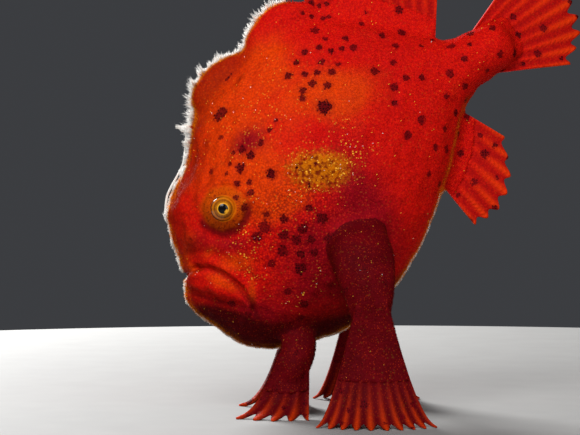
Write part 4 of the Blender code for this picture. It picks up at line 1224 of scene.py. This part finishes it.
@dataclass
class Fuzz:
    """The coat: a velvet of spinules on the skin and a ragged fringe on the fish's edge, its tips painted
    white as if lit from behind.
    """

    posture: Posture
    markings: Markings
    velvet: int = 300000
    fringe: int = 30000
    quick_share: float = 0.2
    most_triangles: int = 195000
    velvet_length: float = 0.46
    velvet_radius: float = 0.06
    fringe_radius: float = 0.10
    tuft_size: int = 13
    patch_across: float = 0.003

    def build(self, skin: bpy.types.Object, ground: Ground, finish: bpy.types.Material) -> None:
        """Plants the coat on the skin, in pieces small enough to export."""
        rng = np.random.default_rng(SEED + 1)
        share = 1.0
        mesh = skin.data
        rim = numbers(mesh.attributes["rim"].data, "value", 1)[:, 0]
        bare = numbers(mesh.attributes["bare"].data, "value", 1)[:, 0]
        low, high = ground.unwrap.min(axis=0), ground.unwrap.max(axis=0)
        ground.unwrap = 0.01 + 0.98 * (ground.unwrap - low) / (high - low)
        for name, count, thick in (("velvet", self.velvet, 1.0 - 0.8 * bare), ("fringe", self.fringe, rim)):
            roots = self._roots(rng, mesh, ground, thick, int(count * share))
            order = np.argsort(roots.point[:, 0])
            each = self.most_triangles // (3 if name == "velvet" else 9)
            for number, start in enumerate(range(0, len(order), each)):
                picked = roots.picked(order[start:start + each])
                grow = self._velvet if name == "velvet" else self._fringe
                made = grow(f"fuzz_{name}_{number + 1}", rng, picked)
                made.data.materials.append(finish)

    @staticmethod
    def _roots(rng: np.random.Generator, mesh: bpy.types.Mesh, ground: Ground, thick: np.ndarray,
               count: int) -> Roots:
        """Draws places on the skin.

        Args:
            rng: The seeded source of the draw.
            mesh: The skin.
            ground: What its points read from the parts under them.
            thick: How thickly hairs stand at each of its points.
            count: How many to draw.

        Returns:
            The roots.
        """
        mesh.calc_loop_triangles()
        corners = numbers(mesh.loop_triangles, "vertices").astype(int)
        points = numbers(mesh.vertices, "co")
        normals = numbers(mesh.vertex_normals, "vector")
        sides = points[corners]
        area = np.linalg.norm(np.cross(sides[:, 1] - sides[:, 0], sides[:, 2] - sides[:, 0]), axis=1)
        weight = np.cumsum(area * thick[corners].mean(axis=1))
        chosen = np.searchsorted(weight, rng.uniform(0, weight[-1], count))
        share = rng.dirichlet((1, 1, 1), count)
        corner = corners[chosen]

        def at(values: np.ndarray) -> np.ndarray:
            """Reads values kept at the skin's points where the hairs root."""
            return (values[corner] * (share[..., None] if values.ndim == 2 else share)).sum(axis=1)

        names = [a.name for a in mesh.attributes if a.domain == "POINT" and a.data_type == "FLOAT"]
        tones = {name: at(numbers(mesh.attributes[name].data, "value", 1)[:, 0]) for name in names}
        return Roots(at(points), unit(at(normals)), ground.lie[corner[:, 0]],
                     ground.unwrap[corner[:, 0]], tones)

    def _velvet(self, name: str, rng: np.random.Generator, roots: Roots) -> bpy.types.Object:
        """Short spikes that lean back along the skin, as one piece."""
        count = len(roots.point)
        along = unit(roots.lie - roots.normal * (roots.lie * roots.normal).sum(axis=1, keepdims=True))
        across = np.cross(roots.normal, along)
        way = unit(roots.normal + along * (0.75 + rng.normal(0, 0.2, count))[:, None]
                   + across * rng.normal(0, 0.3, count)[:, None])
        length = self.velvet_length * rng.uniform(0.6, 1.3, count) * (1 - 0.5 * roots.tones["bare"])
        length = length * (1 + 0.8 * roots.tones["backlit_band"])
        speck = (rng.uniform(0, 1, count) < 0.0012 + 0.028 * roots.tones["gilt"]).astype(float)
        radius = self.velvet_radius * rng.uniform(0.8, 1.25, count) * (1 + 2.0 * speck)
        tip = roots.point + way * length[:, None] * MM
        more = {"fringe": np.zeros(count), "tint": rng.uniform(0, 1, count), "speck": speck}
        return self._spikes(name, rng, roots, [tip], [radius], more)

    def _fringe(self, name: str, rng: np.random.Generator, roots: Roots) -> bpy.types.Object:
        """Long bent hairs, gathered to the tips of tufts, as one piece."""
        count = len(roots.point)
        heads = rng.choice(count, max(1, count // self.tuft_size), replace=False)
        tree = KDTree(len(heads))
        for index, head in enumerate(heads):
            tree.insert(roots.point[head], index)
        tree.balance()
        tuft = np.array([tree.find(point)[1] for point in roots.point])
        length = self.markings.fringe_length(self.posture.fish(roots.point))
        length = length * (0.45 + 0.55 * smooth_step(0.2, 0.8, roots.tones["rim"]))
        size = rng.uniform(0.65, 1.15, len(heads))
        lean = unit(roots.normal[heads] + 0.3 * roots.lie[heads] + rng.normal(0, 0.24, (len(heads), 3)))
        reach = length * size[tuft] * rng.uniform(0.45, 1.1, count)
        own = unit(roots.normal + 0.25 * roots.lie + rng.normal(0, 0.2, (count, 3)))
        together = roots.point[heads][tuft] + lean[tuft] * reach[:, None] * MM
        tip = roots.point + own * reach[:, None] * MM
        tip = tip + (together - tip) * rng.uniform(0.45, 0.95, count)[:, None]
        middle = roots.point + own * (0.5 * reach * MM)[:, None]
        middle = middle + 0.3 * ((roots.point + tip) / 2 - middle)
        radius = self.fringe_radius * rng.uniform(0.75, 1.2, count)
        more = {"fringe": np.ones(count), "tint": rng.uniform(0, 1, count), "speck": np.zeros(count)}
        return self._spikes(name, rng, roots, [middle, tip], [radius, radius * 0.75], more)

    def _spikes(self, name: str, rng: np.random.Generator, roots: Roots, stops: list[np.ndarray],
                radii: list[np.ndarray], more: dict[str, np.ndarray]) -> bpy.types.Object:
        """Makes three-sided spikes through given stops.

        Args:
            name: The piece's name.
            rng: The seeded source of how each is turned.
            roots: Where the spikes root.
            stops: The points that the spikes pass, the last of them the tips.
            radii: Their radii in millimetres at the root and at each stop but the last.
            more: Numbers to keep for each spike, by name.

        Returns:
            The piece.
        """
        count, rings = len(roots.point), len(stops)
        way = unit(stops[0] - roots.point)
        one = unit(np.cross(way, roots.normal + 0.01))
        two = np.cross(way, one)
        turn = rng.uniform(0, math.tau, count)
        centres = [roots.point - roots.normal * 0.12 * MM, *stops[:-1]]
        rows = [centre + (radius * MM)[:, None] * (one * np.cos(turn + k * math.tau / 3)[:, None]
                                                   + two * np.sin(turn + k * math.tau / 3)[:, None])
                for centre, radius in zip(centres, radii) for k in range(3)]
        points = np.stack([*rows, stops[-1]], axis=1).reshape(-1, 3)
        points[:, 2] = np.maximum(points[:, 2], 0.0)
        sides = [[3 * k + a, 3 * k + b, 3 * k + b + 3] for k in range(rings - 1)
                 for a, b in ((0, 1), (1, 2), (2, 0))]
        sides += [[3 * k + a, 3 * k + b + 3, 3 * k + a + 3] for k in range(rings - 1)
                  for a, b in ((0, 1), (1, 2), (2, 0))]
        last = 3 * (rings - 1)
        sides += [[last, last + 1, last + 3], [last + 1, last + 2, last + 3], [last + 2, last, last + 3]]
        each = 3 * rings + 1
        faces = (np.arange(count)[:, None, None] * each + np.array(sides)).reshape(-1, 3)
        mesh = bpy.data.meshes.new(name)
        mesh.vertices.add(len(points))
        mesh.loops.add(faces.size)
        mesh.polygons.add(len(faces))
        mesh.loops.foreach_set("vertex_index", faces.ravel().astype(np.int32))
        mesh.polygons.foreach_set("loop_start", np.arange(0, faces.size, 3, dtype=np.int32))
        place_points(mesh, points)
        mesh.validate()
        made = piece(name, mesh, "skin")
        for tone, values in {**roots.tones, **more}.items():
            store(mesh, tone, np.repeat(values, each))
        root = mesh.attributes.new("root", "FLOAT_VECTOR", "POINT")
        root.data.foreach_set("vector", np.repeat(roots.point, each, axis=0).astype(np.float32).ravel())
        store(mesh, "tip", np.tile(np.append(np.repeat(np.arange(rings) / rings, 3), 1.0), count))
        angle = np.arange(3) * math.tau / 3
        ring = np.stack([np.cos(angle), np.sin(angle)], axis=1) * self.patch_across / 2
        corner = np.vstack([ring * (1 - k / rings) for k in range(rings)] + [[[0.0, 0.0]]])
        patch = (roots.unwrap[:, None, :] + corner[None]).reshape(-1, 2)
        layer = mesh.uv_layers.new(name="OFBake")
        layer.data.foreach_set("uv", patch[faces.ravel()].astype(np.float32).ravel())
        return made


@dataclass(frozen=True)
class EyeFinish:
    """The wet eye: a black pupil in a golden ringed iris."""

    centre: tuple[float, float]
    pupil_radius: float = 1.55
    window: float = 3.6
    black: tuple[float, float, float] = (0.004, 0.003, 0.003)
    yellow: tuple[float, float, float] = (0.90, 0.40, 0.02)
    olive: tuple[float, float, float] = (0.36, 0.10, 0.003)
    umber: tuple[float, float, float] = (0.13, 0.022, 0.003)
    rim: tuple[float, float, float] = (0.62, 0.16, 0.004)

    def material(self) -> bpy.types.Material:
        """The eye's material."""
        recipe = Recipe("frogfish_eye")
        place = recipe.place()
        x, _, z = recipe.split(place)
        dx, dz = (x - self.centre[0]) * (1 / MM), (z - self.centre[1]) * (1 / MM)
        radius = recipe.math("SQRT", dx * dx + dz * dz)
        angle = recipe.math("ARCTAN2", dz, dx)
        turned = recipe.join(recipe.math("COSINE", angle) * 9, recipe.math("SINE", angle) * 9,
                             radius * 0.5)
        streaks = recipe.noise(turned, 1.5, 3)
        flecks = recipe.noise(place, 2200, 2)
        colour = recipe.mix(streaks.eased(0.45, 0.75) * 0.5, self.olive, self.yellow)
        colour = recipe.mix((streaks * 0.6 + flecks * 0.6).eased(0.68, 0.82) * 0.6, colour, self.umber)
        ring = radius.eased(2.9, 3.2) * radius.eased(3.7, 3.35)
        colour = recipe.mix(ring, colour, self.rim)
        dark = radius.eased(2.35, 2.7) * radius.eased(3.1, 2.85)
        colour = recipe.mix(dark * 0.55, colour, self.umber)
        inner = radius.eased(self.pupil_radius + 0.55, self.pupil_radius + 0.15)
        colour = recipe.mix(inner, colour, self.yellow)
        notch = (dx * 0.8 - dz * 0.6 - 0.75).eased(0.0, 0.35) * (dx * 0.6 + dz * 0.8).eased(0.9, 0.3)
        notch = notch * (dx * 0.6 + dz * 0.8).eased(-0.9, -0.3)
        pupil = radius.eased(self.pupil_radius + 0.12, self.pupil_radius - 0.05) * (1 - notch)
        colour = recipe.mix(pupil, colour, self.black)
        colour = recipe.mix(radius.eased(3.5, 3.9), colour, self.umber)
        return recipe.shade(Base_Color=colour, Roughness=0.18, Specular_IOR_Level=0.25)


@dataclass
class Eye:
    """One eyeball, with the cornea's bulge over the pupil."""

    label: str
    side: int
    radius: float = 4.15
    bulge: float = 0.35

    def build(self, posture: Posture, finish: bpy.types.Material) -> bpy.types.Object:
        """The eye as a piece of its own."""
        bm = bmesh.new()
        bmesh.ops.create_uvsphere(bm, u_segments=64, v_segments=48, radius=1.0,
                                  matrix=Matrix.Rotation(math.radians(90), 4, "X"))
        mesh = mesh_of(bm, "eye")
        ball = unit(numbers(mesh.vertices, "co"))
        out = np.maximum(0, ball[:, 1] * self.side)
        reach = self.radius + self.bulge * smooth_step(0.72, 0.98, out)
        x, y, z = posture.eye
        centre = np.array([x, self.side * y, z])
        place_points(mesh, posture.world(centre + ball * reach[:, None]))
        mesh.materials.append(finish)
        return piece(f"eyeball_{self.label}", mesh, "eye", f"eye_{self.label}")


@dataclass
class Lure:
    """The rod on the snout and the lure at its tip, laid back over the brow."""

    rod_radius: float = 0.36
    rod_lift: float = 1.0
    tip: Pairs = ((26.9, 0, 27.6), (26.1, 0, 28.9), (24.6, 0, 30.7))
    halves: Pairs = ((1.0, 1.0), (1.7, 1.5), (1.0, 0.9), (0.3, 0.3))
    filaments: int = 160

    def path(self) -> np.ndarray:
        """The rod's path: out of the snout, back above the brow and up to the lure."""
        back = SideOutline.BACK
        brow = np.array([SideOutline.FACE[0], *back[:-6:-1], back[-6]], float)
        along = unit(brow[2:] - brow[:-2])
        lifted = brow[1:-1] + self.rod_lift * np.stack([-along[:, 1], along[:, 0]], axis=1)
        points = [(8.4, 0, 3.8), (6.7, 0, 5.9), *[(x, 0, z) for x, z in lifted], self.tip[0]]
        return np.array(points, float)

    def build(self, posture: Posture, finish: bpy.types.Material) -> None:
        """The rod and the lure as two pieces."""
        rng = np.random.default_rng(SEED + 2)
        steps = 64
        share = np.linspace(0, 1, steps)
        centre = posture.world(through(self.path(), share))
        rod = self._tube("illicium_skin", centre, self.rod_radius * (1.15 - 0.35 * share) * MM)
        rod.data.materials.append(finish)
        bm = bmesh.new()
        bulb = Limb(self.tip, self.halves, (0, 1, 0), posture.world, Region.SPINE, depth=0.35,
                    segments=24, rings=20).build()
        bm.from_mesh(bulb.mesh)
        for _ in range(self.filaments):
            self._filament(bm, rng, posture)
        mesh = bpy.data.meshes.new("esca_skin")
        bm.to_mesh(mesh)
        bm.free()
        mesh.materials.append(finish)
        piece("esca_skin", mesh, "lure", "esca")

    def _filament(self, bm: bmesh.types.BMesh, rng: np.random.Generator, posture: Posture) -> None:
        """Adds one tapered thread of the lure."""
        share = rng.uniform(0.0, 0.7, 1)
        root = through(self.tip, share)[0] + unit(rng.normal(size=3)) * (1.1 - share[0])
        way = unit(np.array(self.tip[-1]) - root + rng.normal(0, 0.35, 3))
        length, wide = rng.uniform(0.7, 1.5) * (1.25 - 0.5 * share[0]), rng.uniform(0.10, 0.16)
        turn = Vector(way).to_track_quat("Z", "Y").to_matrix().to_4x4()
        cone = bmesh.ops.create_cone(bm, cap_ends=True, segments=5, radius1=wide, radius2=0.02,
                                     depth=length, matrix=turn)
        points = np.array([v.co for v in cone["verts"]]) + root + way * (length / 2 + 0.3)
        for vert, place in zip(cone["verts"], posture.world(points)):
            vert.co = place

    @staticmethod
    def _tube(name: str, centre: np.ndarray, radius: np.ndarray) -> bpy.types.Object:
        """A round tube through the centres, closed at both ends."""
        curve = bpy.data.curves.new(name, "CURVE")
        curve.dimensions = "3D"
        curve.bevel_depth = 1.0
        curve.bevel_resolution = 3
        curve.use_fill_caps = True
        line = curve.splines.new("POLY")
        line.points.add(len(centre) - 1)
        for point, place, size in zip(line.points, centre, radius):
            point.co = (*place, 1.0)
            point.radius = size
        guide = bpy.data.objects.new(name, curve)
        bpy.context.scene.collection.objects.link(guide)
        bpy.context.view_layer.update()
        mesh = baked(guide)
        bpy.data.objects.remove(guide)
        return piece(name, mesh, "lure", "illicium")


@dataclass(frozen=True)
class LureFinish:
    """The pale, soft skin of the rod and lure, banded with rust."""

    cream: tuple[float, float, float] = (0.92, 0.88, 0.83)
    rust: tuple[float, float, float] = (0.62, 0.16, 0.04)

    def material(self) -> bpy.types.Material:
        """The lure's material."""
        recipe = Recipe("frogfish_lure")
        place = recipe.place()
        patches = recipe.noise(place, 420, 3)
        colour = recipe.mix(patches.eased(0.58, 0.70) * 0.5, self.cream, self.rust)
        recipe.bumped(recipe.noise(place, 1800, 2), 0.0001, 0.6)
        return recipe.shade(Base_Color=colour, Roughness=patches * 0.3 + 0.4)


@dataclass
class Nostril:
    """A short tube round a pit on each side of the snout."""

    side: int
    foot: tuple[float, float, float] = (11.4, 12.6, -3.6)
    profile: Pairs = ((0.0, -2.2), (2.3, -2.2), (2.1, -0.1), (1.7, 0.9), (1.2, 1.1), (0.8, 0.6),
                      (0.6, -0.3), (0.0, -0.5))

    def build(self, posture: Posture) -> Flesh:
        """The tube as a closed mesh in the world."""
        bm = bmesh.new()
        ring = [bm.verts.new((r, 0, h)) for r, h in self.profile]
        for a, b in zip(ring, ring[1:]):
            bm.edges.new((a, b))
        bmesh.ops.spin(bm, geom=bm.verts[:] + bm.edges[:], axis=(0, 0, 1), cent=(0, 0, 0),
                       angle=math.tau, steps=28, use_merge=True)
        bmesh.ops.remove_doubles(bm, verts=bm.verts, dist=0.01)
        out = Vector((-0.72, self.side * 0.66, 0.2)).normalized()
        turn = out.to_track_quat("Z", "Y").to_matrix().to_4x4()
        x, y, z = self.foot
        bmesh.ops.transform(bm, verts=bm.verts, matrix=Matrix.Translation((x, self.side * y, z)) @ turn)
        mesh = mesh_of(bm, "nostril")
        points = posture.world(numbers(mesh.vertices, "co"))
        place_points(mesh, points)
        unwrap = np.tile([0.97, 0.97], (len(points), 1))
        return Flesh(mesh, unwrap, posture.backwards(points), Region.BODY)


@dataclass
class Fish:
    """The whole frogfish."""

    posture: Posture
    arm: Pairs = ((43, 6, 65), (42.8, 16.5, 60), (44.4, 26.5, 51.5), (46.8, 32.5, 40), (47.5, 35, 24))
    arm_halves: Pairs = ((8.5, 6), (10.2, 6.8), (10.2, 6.6), (9.2, 5.2), (7.8, 3.2))
    leg: Pairs = ((25.5, 7, 31), (25, 10.5, 23), (23, 14, 15.5), (21, 15.5, 10))
    leg_halves: Pairs = ((6.6, 4.8), (6.2, 4.6), (5.4, 3.8), (4.8, 2.8))
    second_spine: Pairs = ((35.5, 0, 26), (38, 0, 32), (44, 0, 35.8), (51.5, 0, 37.8), (58.5, 0, 39))
    second_halves: Pairs = ((8.0, 4.8), (6.8, 5.4), (5.6, 5.2), (4.7, 5.2), (3.4, 4.0))
    third_spine: Pairs = ((58, 0, 32), (61.5, 0, 37), (67, 0, 40.2), (74, 0, 41.6), (84, 0, 40.8))
    third_halves: Pairs = ((7.4, 6.4), (8.0, 6.4), (6.9, 5.4), (8.0, 4.8), (6.0, 3.4))

    def fins(self) -> list[Fin]:
        """All the fins, at the solids' own places."""
        made = [
            self._median("dorsal_fin", 12, ((79, 35), (88, 31.5), (97, 24.5), (105, 17), (111.5, 11.8)),
                         ((83, 53), (93, 57.5), (106, 55), (117, 45), (124.5, 31))),
            self._median("anal_fin", 7, ((90, -28.5), (96, -22.5), (102, -16.5), (107.5, -11)),
                         ((93, -46), (102.5, -45.5), (111.5, -38), (116.5, -26))),
            self._median("caudal_fin", 9, ((124, -6.2), (125.6, 1.3), (124, 8.8)),
                         ((150, -16.5), (160, -9), (162.5, 1.5), (160, 12), (150, 20)),
                         thickness=(2.0, 0.8), root_reach=0.22, root_flesh=(6.5, 1.6)),
        ]
        for side, label in ((-1, "left"), (1, "right")):
            made.append(self._paired(
                f"pectoral_fin_{label}", side, 10,
                ((54, 34.8, 31), (50, 35.2, 29.4), (45, 35.2, 29.4), (41, 34.8, 31)),
                ((62, 37, 0.5), (53, 39, 0.5), (43, 39, 0.5), (34, 37, 0.5)),
                ((67, 44, 0.3), (56, 51, 0.3), (42, 51, 0.3), (30, 45, 0.3)),
                thickness=(2.4, 1.0), web=(1.6, 0.6), scallop=0.2, root_flesh=(4.6, 1.9)))
            made.append(self._paired(
                f"pelvic_fin_{label}", side, 5,
                ((28, 13.4, 16.5), (22.6, 14.4, 14.5), (17.2, 13.6, 16.5)),
                ((28, 15, 0.5), (20, 17, 0.5), (12, 14, 0.5)),
                ((28, 24, 0.3), (16.5, 26.5, 0.3), (5, 20, 0.3)),
                thickness=(3.6, 1.4), web=(2.6, 0.8), scallop=0.28, root_flesh=(4.8, 2.8),
                root_reach=0.3, steps=12))
        return made

    def _median(self, name: str, rays: int, root: Pairs, tip: Pairs, **sizes: Any) -> Fin:
        """A fin in the fish's median plane."""
        def surface(across: np.ndarray, out: np.ndarray) -> np.ndarray:
            """The middle surface of the fin."""
            start, end = through(root, across), through(tip, across)
            place = start + (end - start) * out[:, None]
            sway = 0.8 * np.sin(across * 9.0) * out * out
            return self.posture.world(np.stack([place[:, 0], sway, place[:, 1]], axis=1))
        return Fin(name, rays, surface, region=Region.MEDIAN_FIN, **sizes)

    def _paired(self, name: str, side: int, rays: int, knuckles: Pairs, knees: Pairs, tips: Pairs,
                **sizes: Any) -> Fin:
        """A paired fin that reaches down from its knuckles and lies out along the floor."""
        def surface(across: np.ndarray, out: np.ndarray) -> np.ndarray:
            """The middle surface of the fin."""
            start, knee, end = (through(points, across) for points in (knuckles, knees, tips))
            share = out[:, None]
            first, second = start + (knee - start) * share, knee + (end - knee) * share
            place = first + (second - first) * share
            place[:, 1] *= side
            return self.posture.stood(place)
        return Fin(name, rays, surface, **sizes)

    def _limbs(self) -> list[Flesh]:
        """The arms, the legs and the two thick spines of the first dorsal fin."""
        spine = {"across": (0, 1, 0), "place": self.posture.world, "region": Region.SPINE}
        made = [Limb(self.second_spine, self.second_halves, unwrap_at=(0.0, 0.5), **spine).build(),
                Limb(self.third_spine, self.third_halves, unwrap_at=(0.125, 0.5), **spine).build()]
        for side, left in ((-1, 0.25), (1, 0.375)):
            for path, halves, shift in ((self.arm, self.arm_halves, 0.0), (self.leg, self.leg_halves, 0.25)):
                made.append(Limb([(x, side * y, z) for x, y, z in path], halves, (0, 1, 0.3 * side),
                                 self.posture.stood, Region.LIMB, bluntness=0.36,
                                 unwrap_at=(left + shift, 0.5)).build())
        return made

    def build(self) -> None:
        """Makes every piece of the fish."""
        form = BodyForm(SideOutline())
        markings = Markings(self.posture, form)
        eye = self.posture.eye_place(-1)
        finish = SkinFinish((eye[0], eye[2]))
        fins = self.fins()
        parts = [form.build(self.posture), *self._limbs()]
        parts += [Nostril(side).build(self.posture) for side in (-1, 1)]
        parts += [fin.root((0.125 * k, 0.75)) for k, fin in enumerate(fins)]
        skin, ground = Skin().build(parts)
        for fin in fins:
            fin.build()
        markings.spots = SpotPattern().placed(
            self.posture, numbers(skin.data.vertices, "co"), ground.region,
            [numbers(fin.mesh.vertices, "co") for fin in fins])
        markings.dress(skin.data, ground.region)
        skin.data.materials.append(finish.material(Layer.SKIN))
        fin_finish = finish.material(Layer.FIN)
        for fin in fins:
            fin.dress(markings, fin_finish)
        eye_finish = EyeFinish((eye[0], eye[2])).material()
        for side, label in ((-1, "left"), (1, "right")):
            Eye(label, side).build(self.posture, eye_finish)
        Lure().build(self.posture, LureFinish().material())
        Fuzz(self.posture, markings).build(skin, ground, finish.material(Layer.FUZZ))


@dataclass
class Studio:
    """A plain pale floor, soft light and the camera at the photograph's view."""

    posture: Posture
    distance: float = 0.7
    elevation: float = math.radians(1.0)
    frame_width: float = 0.1885
    aim: tuple[float, float] = (22.1, -3.1)
    floor_radius: float = 0.42
    target: tuple[float, float, float] = (0, 0, 0.07)
    sky: tuple[float, float, float, float] = (0.045, 0.047, 0.052, 1.0)

    LIGHTS = {
        "key": ((-0.28, -0.78, 0.70), 0.45, 9.0),
        "fill": ((0.55, -0.75, 0.40), 0.6, 3.0),
        "back": ((-0.42, 0.72, 0.45), 0.35, 18.0),
    }

    def build(self) -> None:
        """Sets the stage."""
        self._floor()
        self._camera()
        for name, (place, size, power) in self.LIGHTS.items():
            self._light(name, place, size, power)
        world = bpy.data.worlds.new("studio")
        bpy.context.scene.world = world
        world.use_nodes = True
        sky = world.node_tree.nodes["Background"]
        sky.inputs["Color"].default_value = self.sky
        sky.inputs["Strength"].default_value = 1.0
        bpy.context.scene.view_settings.view_transform = "Standard"

    def _floor(self) -> None:
        """The pale floor."""
        bm = bmesh.new()
        bmesh.ops.create_circle(bm, cap_ends=True, segments=96, radius=self.floor_radius)
        mesh = mesh_of(bm, "floor")
        recipe = Recipe("studio_floor")
        grain = recipe.noise(recipe.place(), 60, 3)
        mesh.materials.append(recipe.shade(
            Base_Color=recipe.mix(grain, (0.24, 0.237, 0.231), (0.28, 0.277, 0.270)), Roughness=0.8))
        floor = bpy.data.objects.new("floor", mesh)
        bpy.context.scene.collection.objects.link(floor)

    def _camera(self) -> None:
        """The camera, level with the flank and square to the fish."""
        data = bpy.data.cameras.new("camera")
        data.sensor_width = 36.0
        data.lens = data.sensor_width * self.distance / self.frame_width
        camera = bpy.data.objects.new("camera", data)
        bpy.context.scene.collection.objects.link(camera)
        target = self.aim_point()
        back = Vector((0, -math.cos(self.elevation), math.sin(self.elevation)))
        camera.location = target + back * self.distance
        camera.rotation_euler = (-back).to_track_quat("-Z", "Y").to_euler()
        data.clip_start, data.clip_end = 0.01, 20.0
        bpy.context.scene.camera = camera

    def aim_point(self) -> Vector:
        """The point of the fish's middle plane at the frame's centre."""
        x, y = self.posture.shift
        return MM * Vector((x + self.aim[0], y, self.posture.origin_height + self.aim[1]))

    def _light(self, name: str, place: tuple[float, float, float], size: float, power: float) -> None:
        """A soft square light that faces the fish."""
        data = bpy.data.lights.new(name, "AREA")
        data.size = size
        data.energy = power
        light = bpy.data.objects.new(name, data)
        bpy.context.scene.collection.objects.link(light)
        light.location = place
        light.rotation_euler = (Vector(self.target) - Vector(place)).to_track_quat("-Z", "Y").to_euler()


def main() -> None:
    """Builds the fish and its stage."""
    logging.basicConfig(level=logging.INFO, format="%(message)s")
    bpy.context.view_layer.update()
    posture = Posture.of_frame()
    Fish(posture).build()
    Studio(posture).build()


if __name__ == "__main__":
    main()
